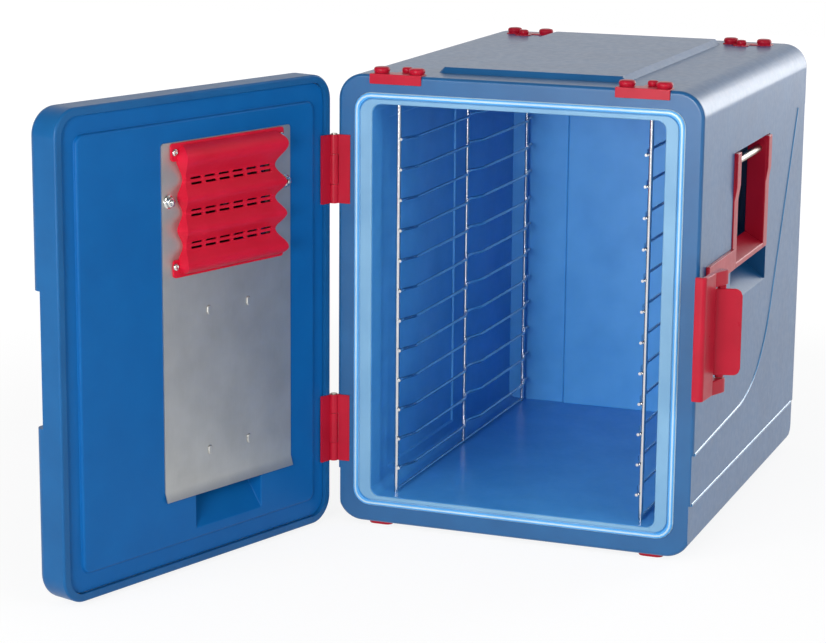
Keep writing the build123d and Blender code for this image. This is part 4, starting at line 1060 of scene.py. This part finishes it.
WHITE = (1, 1, 1, 1)
PAPER_GLOW = 1.08
paper = bpy.data.materials.new("white_paper_sweep")
paper.use_nodes = True
tree = paper.node_tree
tree.nodes.clear()
diffuse = put(tree, "ShaderNodeBsdfDiffuse", Color=hex_colour("F4F4F4"))
glow = put(tree, "ShaderNodeEmission", Color=WHITE, Strength=PAPER_GLOW)
paths = put(tree, "ShaderNodeLightPath")
seen = put(
    tree,
    "ShaderNodeMath",
    [(0, paths.outputs["Is Camera Ray"]), (1, paths.outputs["Is Glossy Ray"])],
    operation="MAXIMUM",
)
place = put(tree, "ShaderNodeTexCoord").outputs["Object"]
away = put(tree, "ShaderNodeVectorMath", [(0, place)], operation="LENGTH").outputs["Value"]
blend = put(
    tree,
    "ShaderNodeMapRange",
    [("Value", away)],
    From_Min=0.9,
    From_Max=2.0,
    To_Min=0.80,
    To_Max=1.0,
)
share = put(
    tree, "ShaderNodeMath", [(0, seen.outputs[0]), (1, blend.outputs[0])], operation="MULTIPLY"
)
mixed = mix_shaders(tree, share.outputs[0], diffuse.outputs[0], glow.outputs[0])
put(tree, "ShaderNodeOutputMaterial", [("Surface", mixed)])
floor_mesh.materials.append(paper)
print("floor", 2 * FLOOR_HALF, "m wide")

# %% [markdown]
# ## Sky
# The camera sees a white sky. Reflections see it white behind the object and dim behind the camera,
# and the light itself comes mostly from the front, into the open cavity.

# %% Sky
world = bpy.data.worlds.new("studio")
bpy.context.scene.world = world
world.use_nodes = True
tree = world.node_tree
tree.nodes.clear()
heading = put(tree, "ShaderNodeTexCoord").outputs["Generated"]
depth = put(tree, "ShaderNodeSeparateXYZ", [(0, heading)]).outputs["Y"]
paths = put(tree, "ShaderNodeLightPath")
from_front = put(
    tree,
    "ShaderNodeMapRange",
    [("Value", depth)],
    From_Min=-0.9,
    From_Max=0.6,
    To_Min=0.50,
    To_Max=0.20,
)
backdrop = put(
    tree,
    "ShaderNodeMapRange",
    [("Value", depth)],
    From_Min=0.1,
    From_Max=0.7,
    To_Min=0.12,
    To_Max=0.9,
)
light = put(tree, "ShaderNodeBackground", [("Strength", from_front.outputs[0])], Color=WHITE)
mirrored = put(tree, "ShaderNodeBackground", [("Strength", backdrop.outputs[0])], Color=WHITE)
white = put(tree, "ShaderNodeBackground", Color=WHITE, Strength=1.0)
is_glossy, is_camera = paths.outputs["Is Glossy Ray"], paths.outputs["Is Camera Ray"]
glossy = mix_shaders(tree, is_glossy, light.outputs[0], mirrored.outputs[0])
mixed = mix_shaders(tree, is_camera, glossy, white.outputs[0])
put(tree, "ShaderNodeOutputWorld", [("Surface", mixed)])
print("sky:", world.name)

# %% [markdown]
# ## Lamps
# Four large soft boxes, as round a product table: one high on the left, one low that looks into the
# cavity, one behind that draws the top's edges, and one that fills the right side.


# %% Lamps
def soft_box(name, place, target, size, watts):
    """A large square lamp aimed at a point."""
    data = bpy.data.lights.new(name, "AREA")
    data.size = size
    data.energy = watts
    lamp = bpy.data.objects.new(name, data)
    lamp.location = place
    lamp.rotation_euler = (Vector(target) - Vector(place)).to_track_quat("-Z", "Y").to_euler()
    bpy.context.scene.collection.objects.link(lamp)
    print(name, watts, "W")


soft_box("key_lamp", (-1.6, -3.4, 2.0), (0, 0, 0.3), 1.4, 26)
soft_box("front_lamp", (-0.1, -3.4, 0.75), (0, 0, 0.32), 0.9, 54)
soft_box("back_lamp", (1.5, 2.6, 1.1), (0.24, 0, 0.35), 1.6, 34)
soft_box("side_lamp", (2.9, -1.6, 1.5), (0.1, -0.2, 0.3), 1.4, 22)
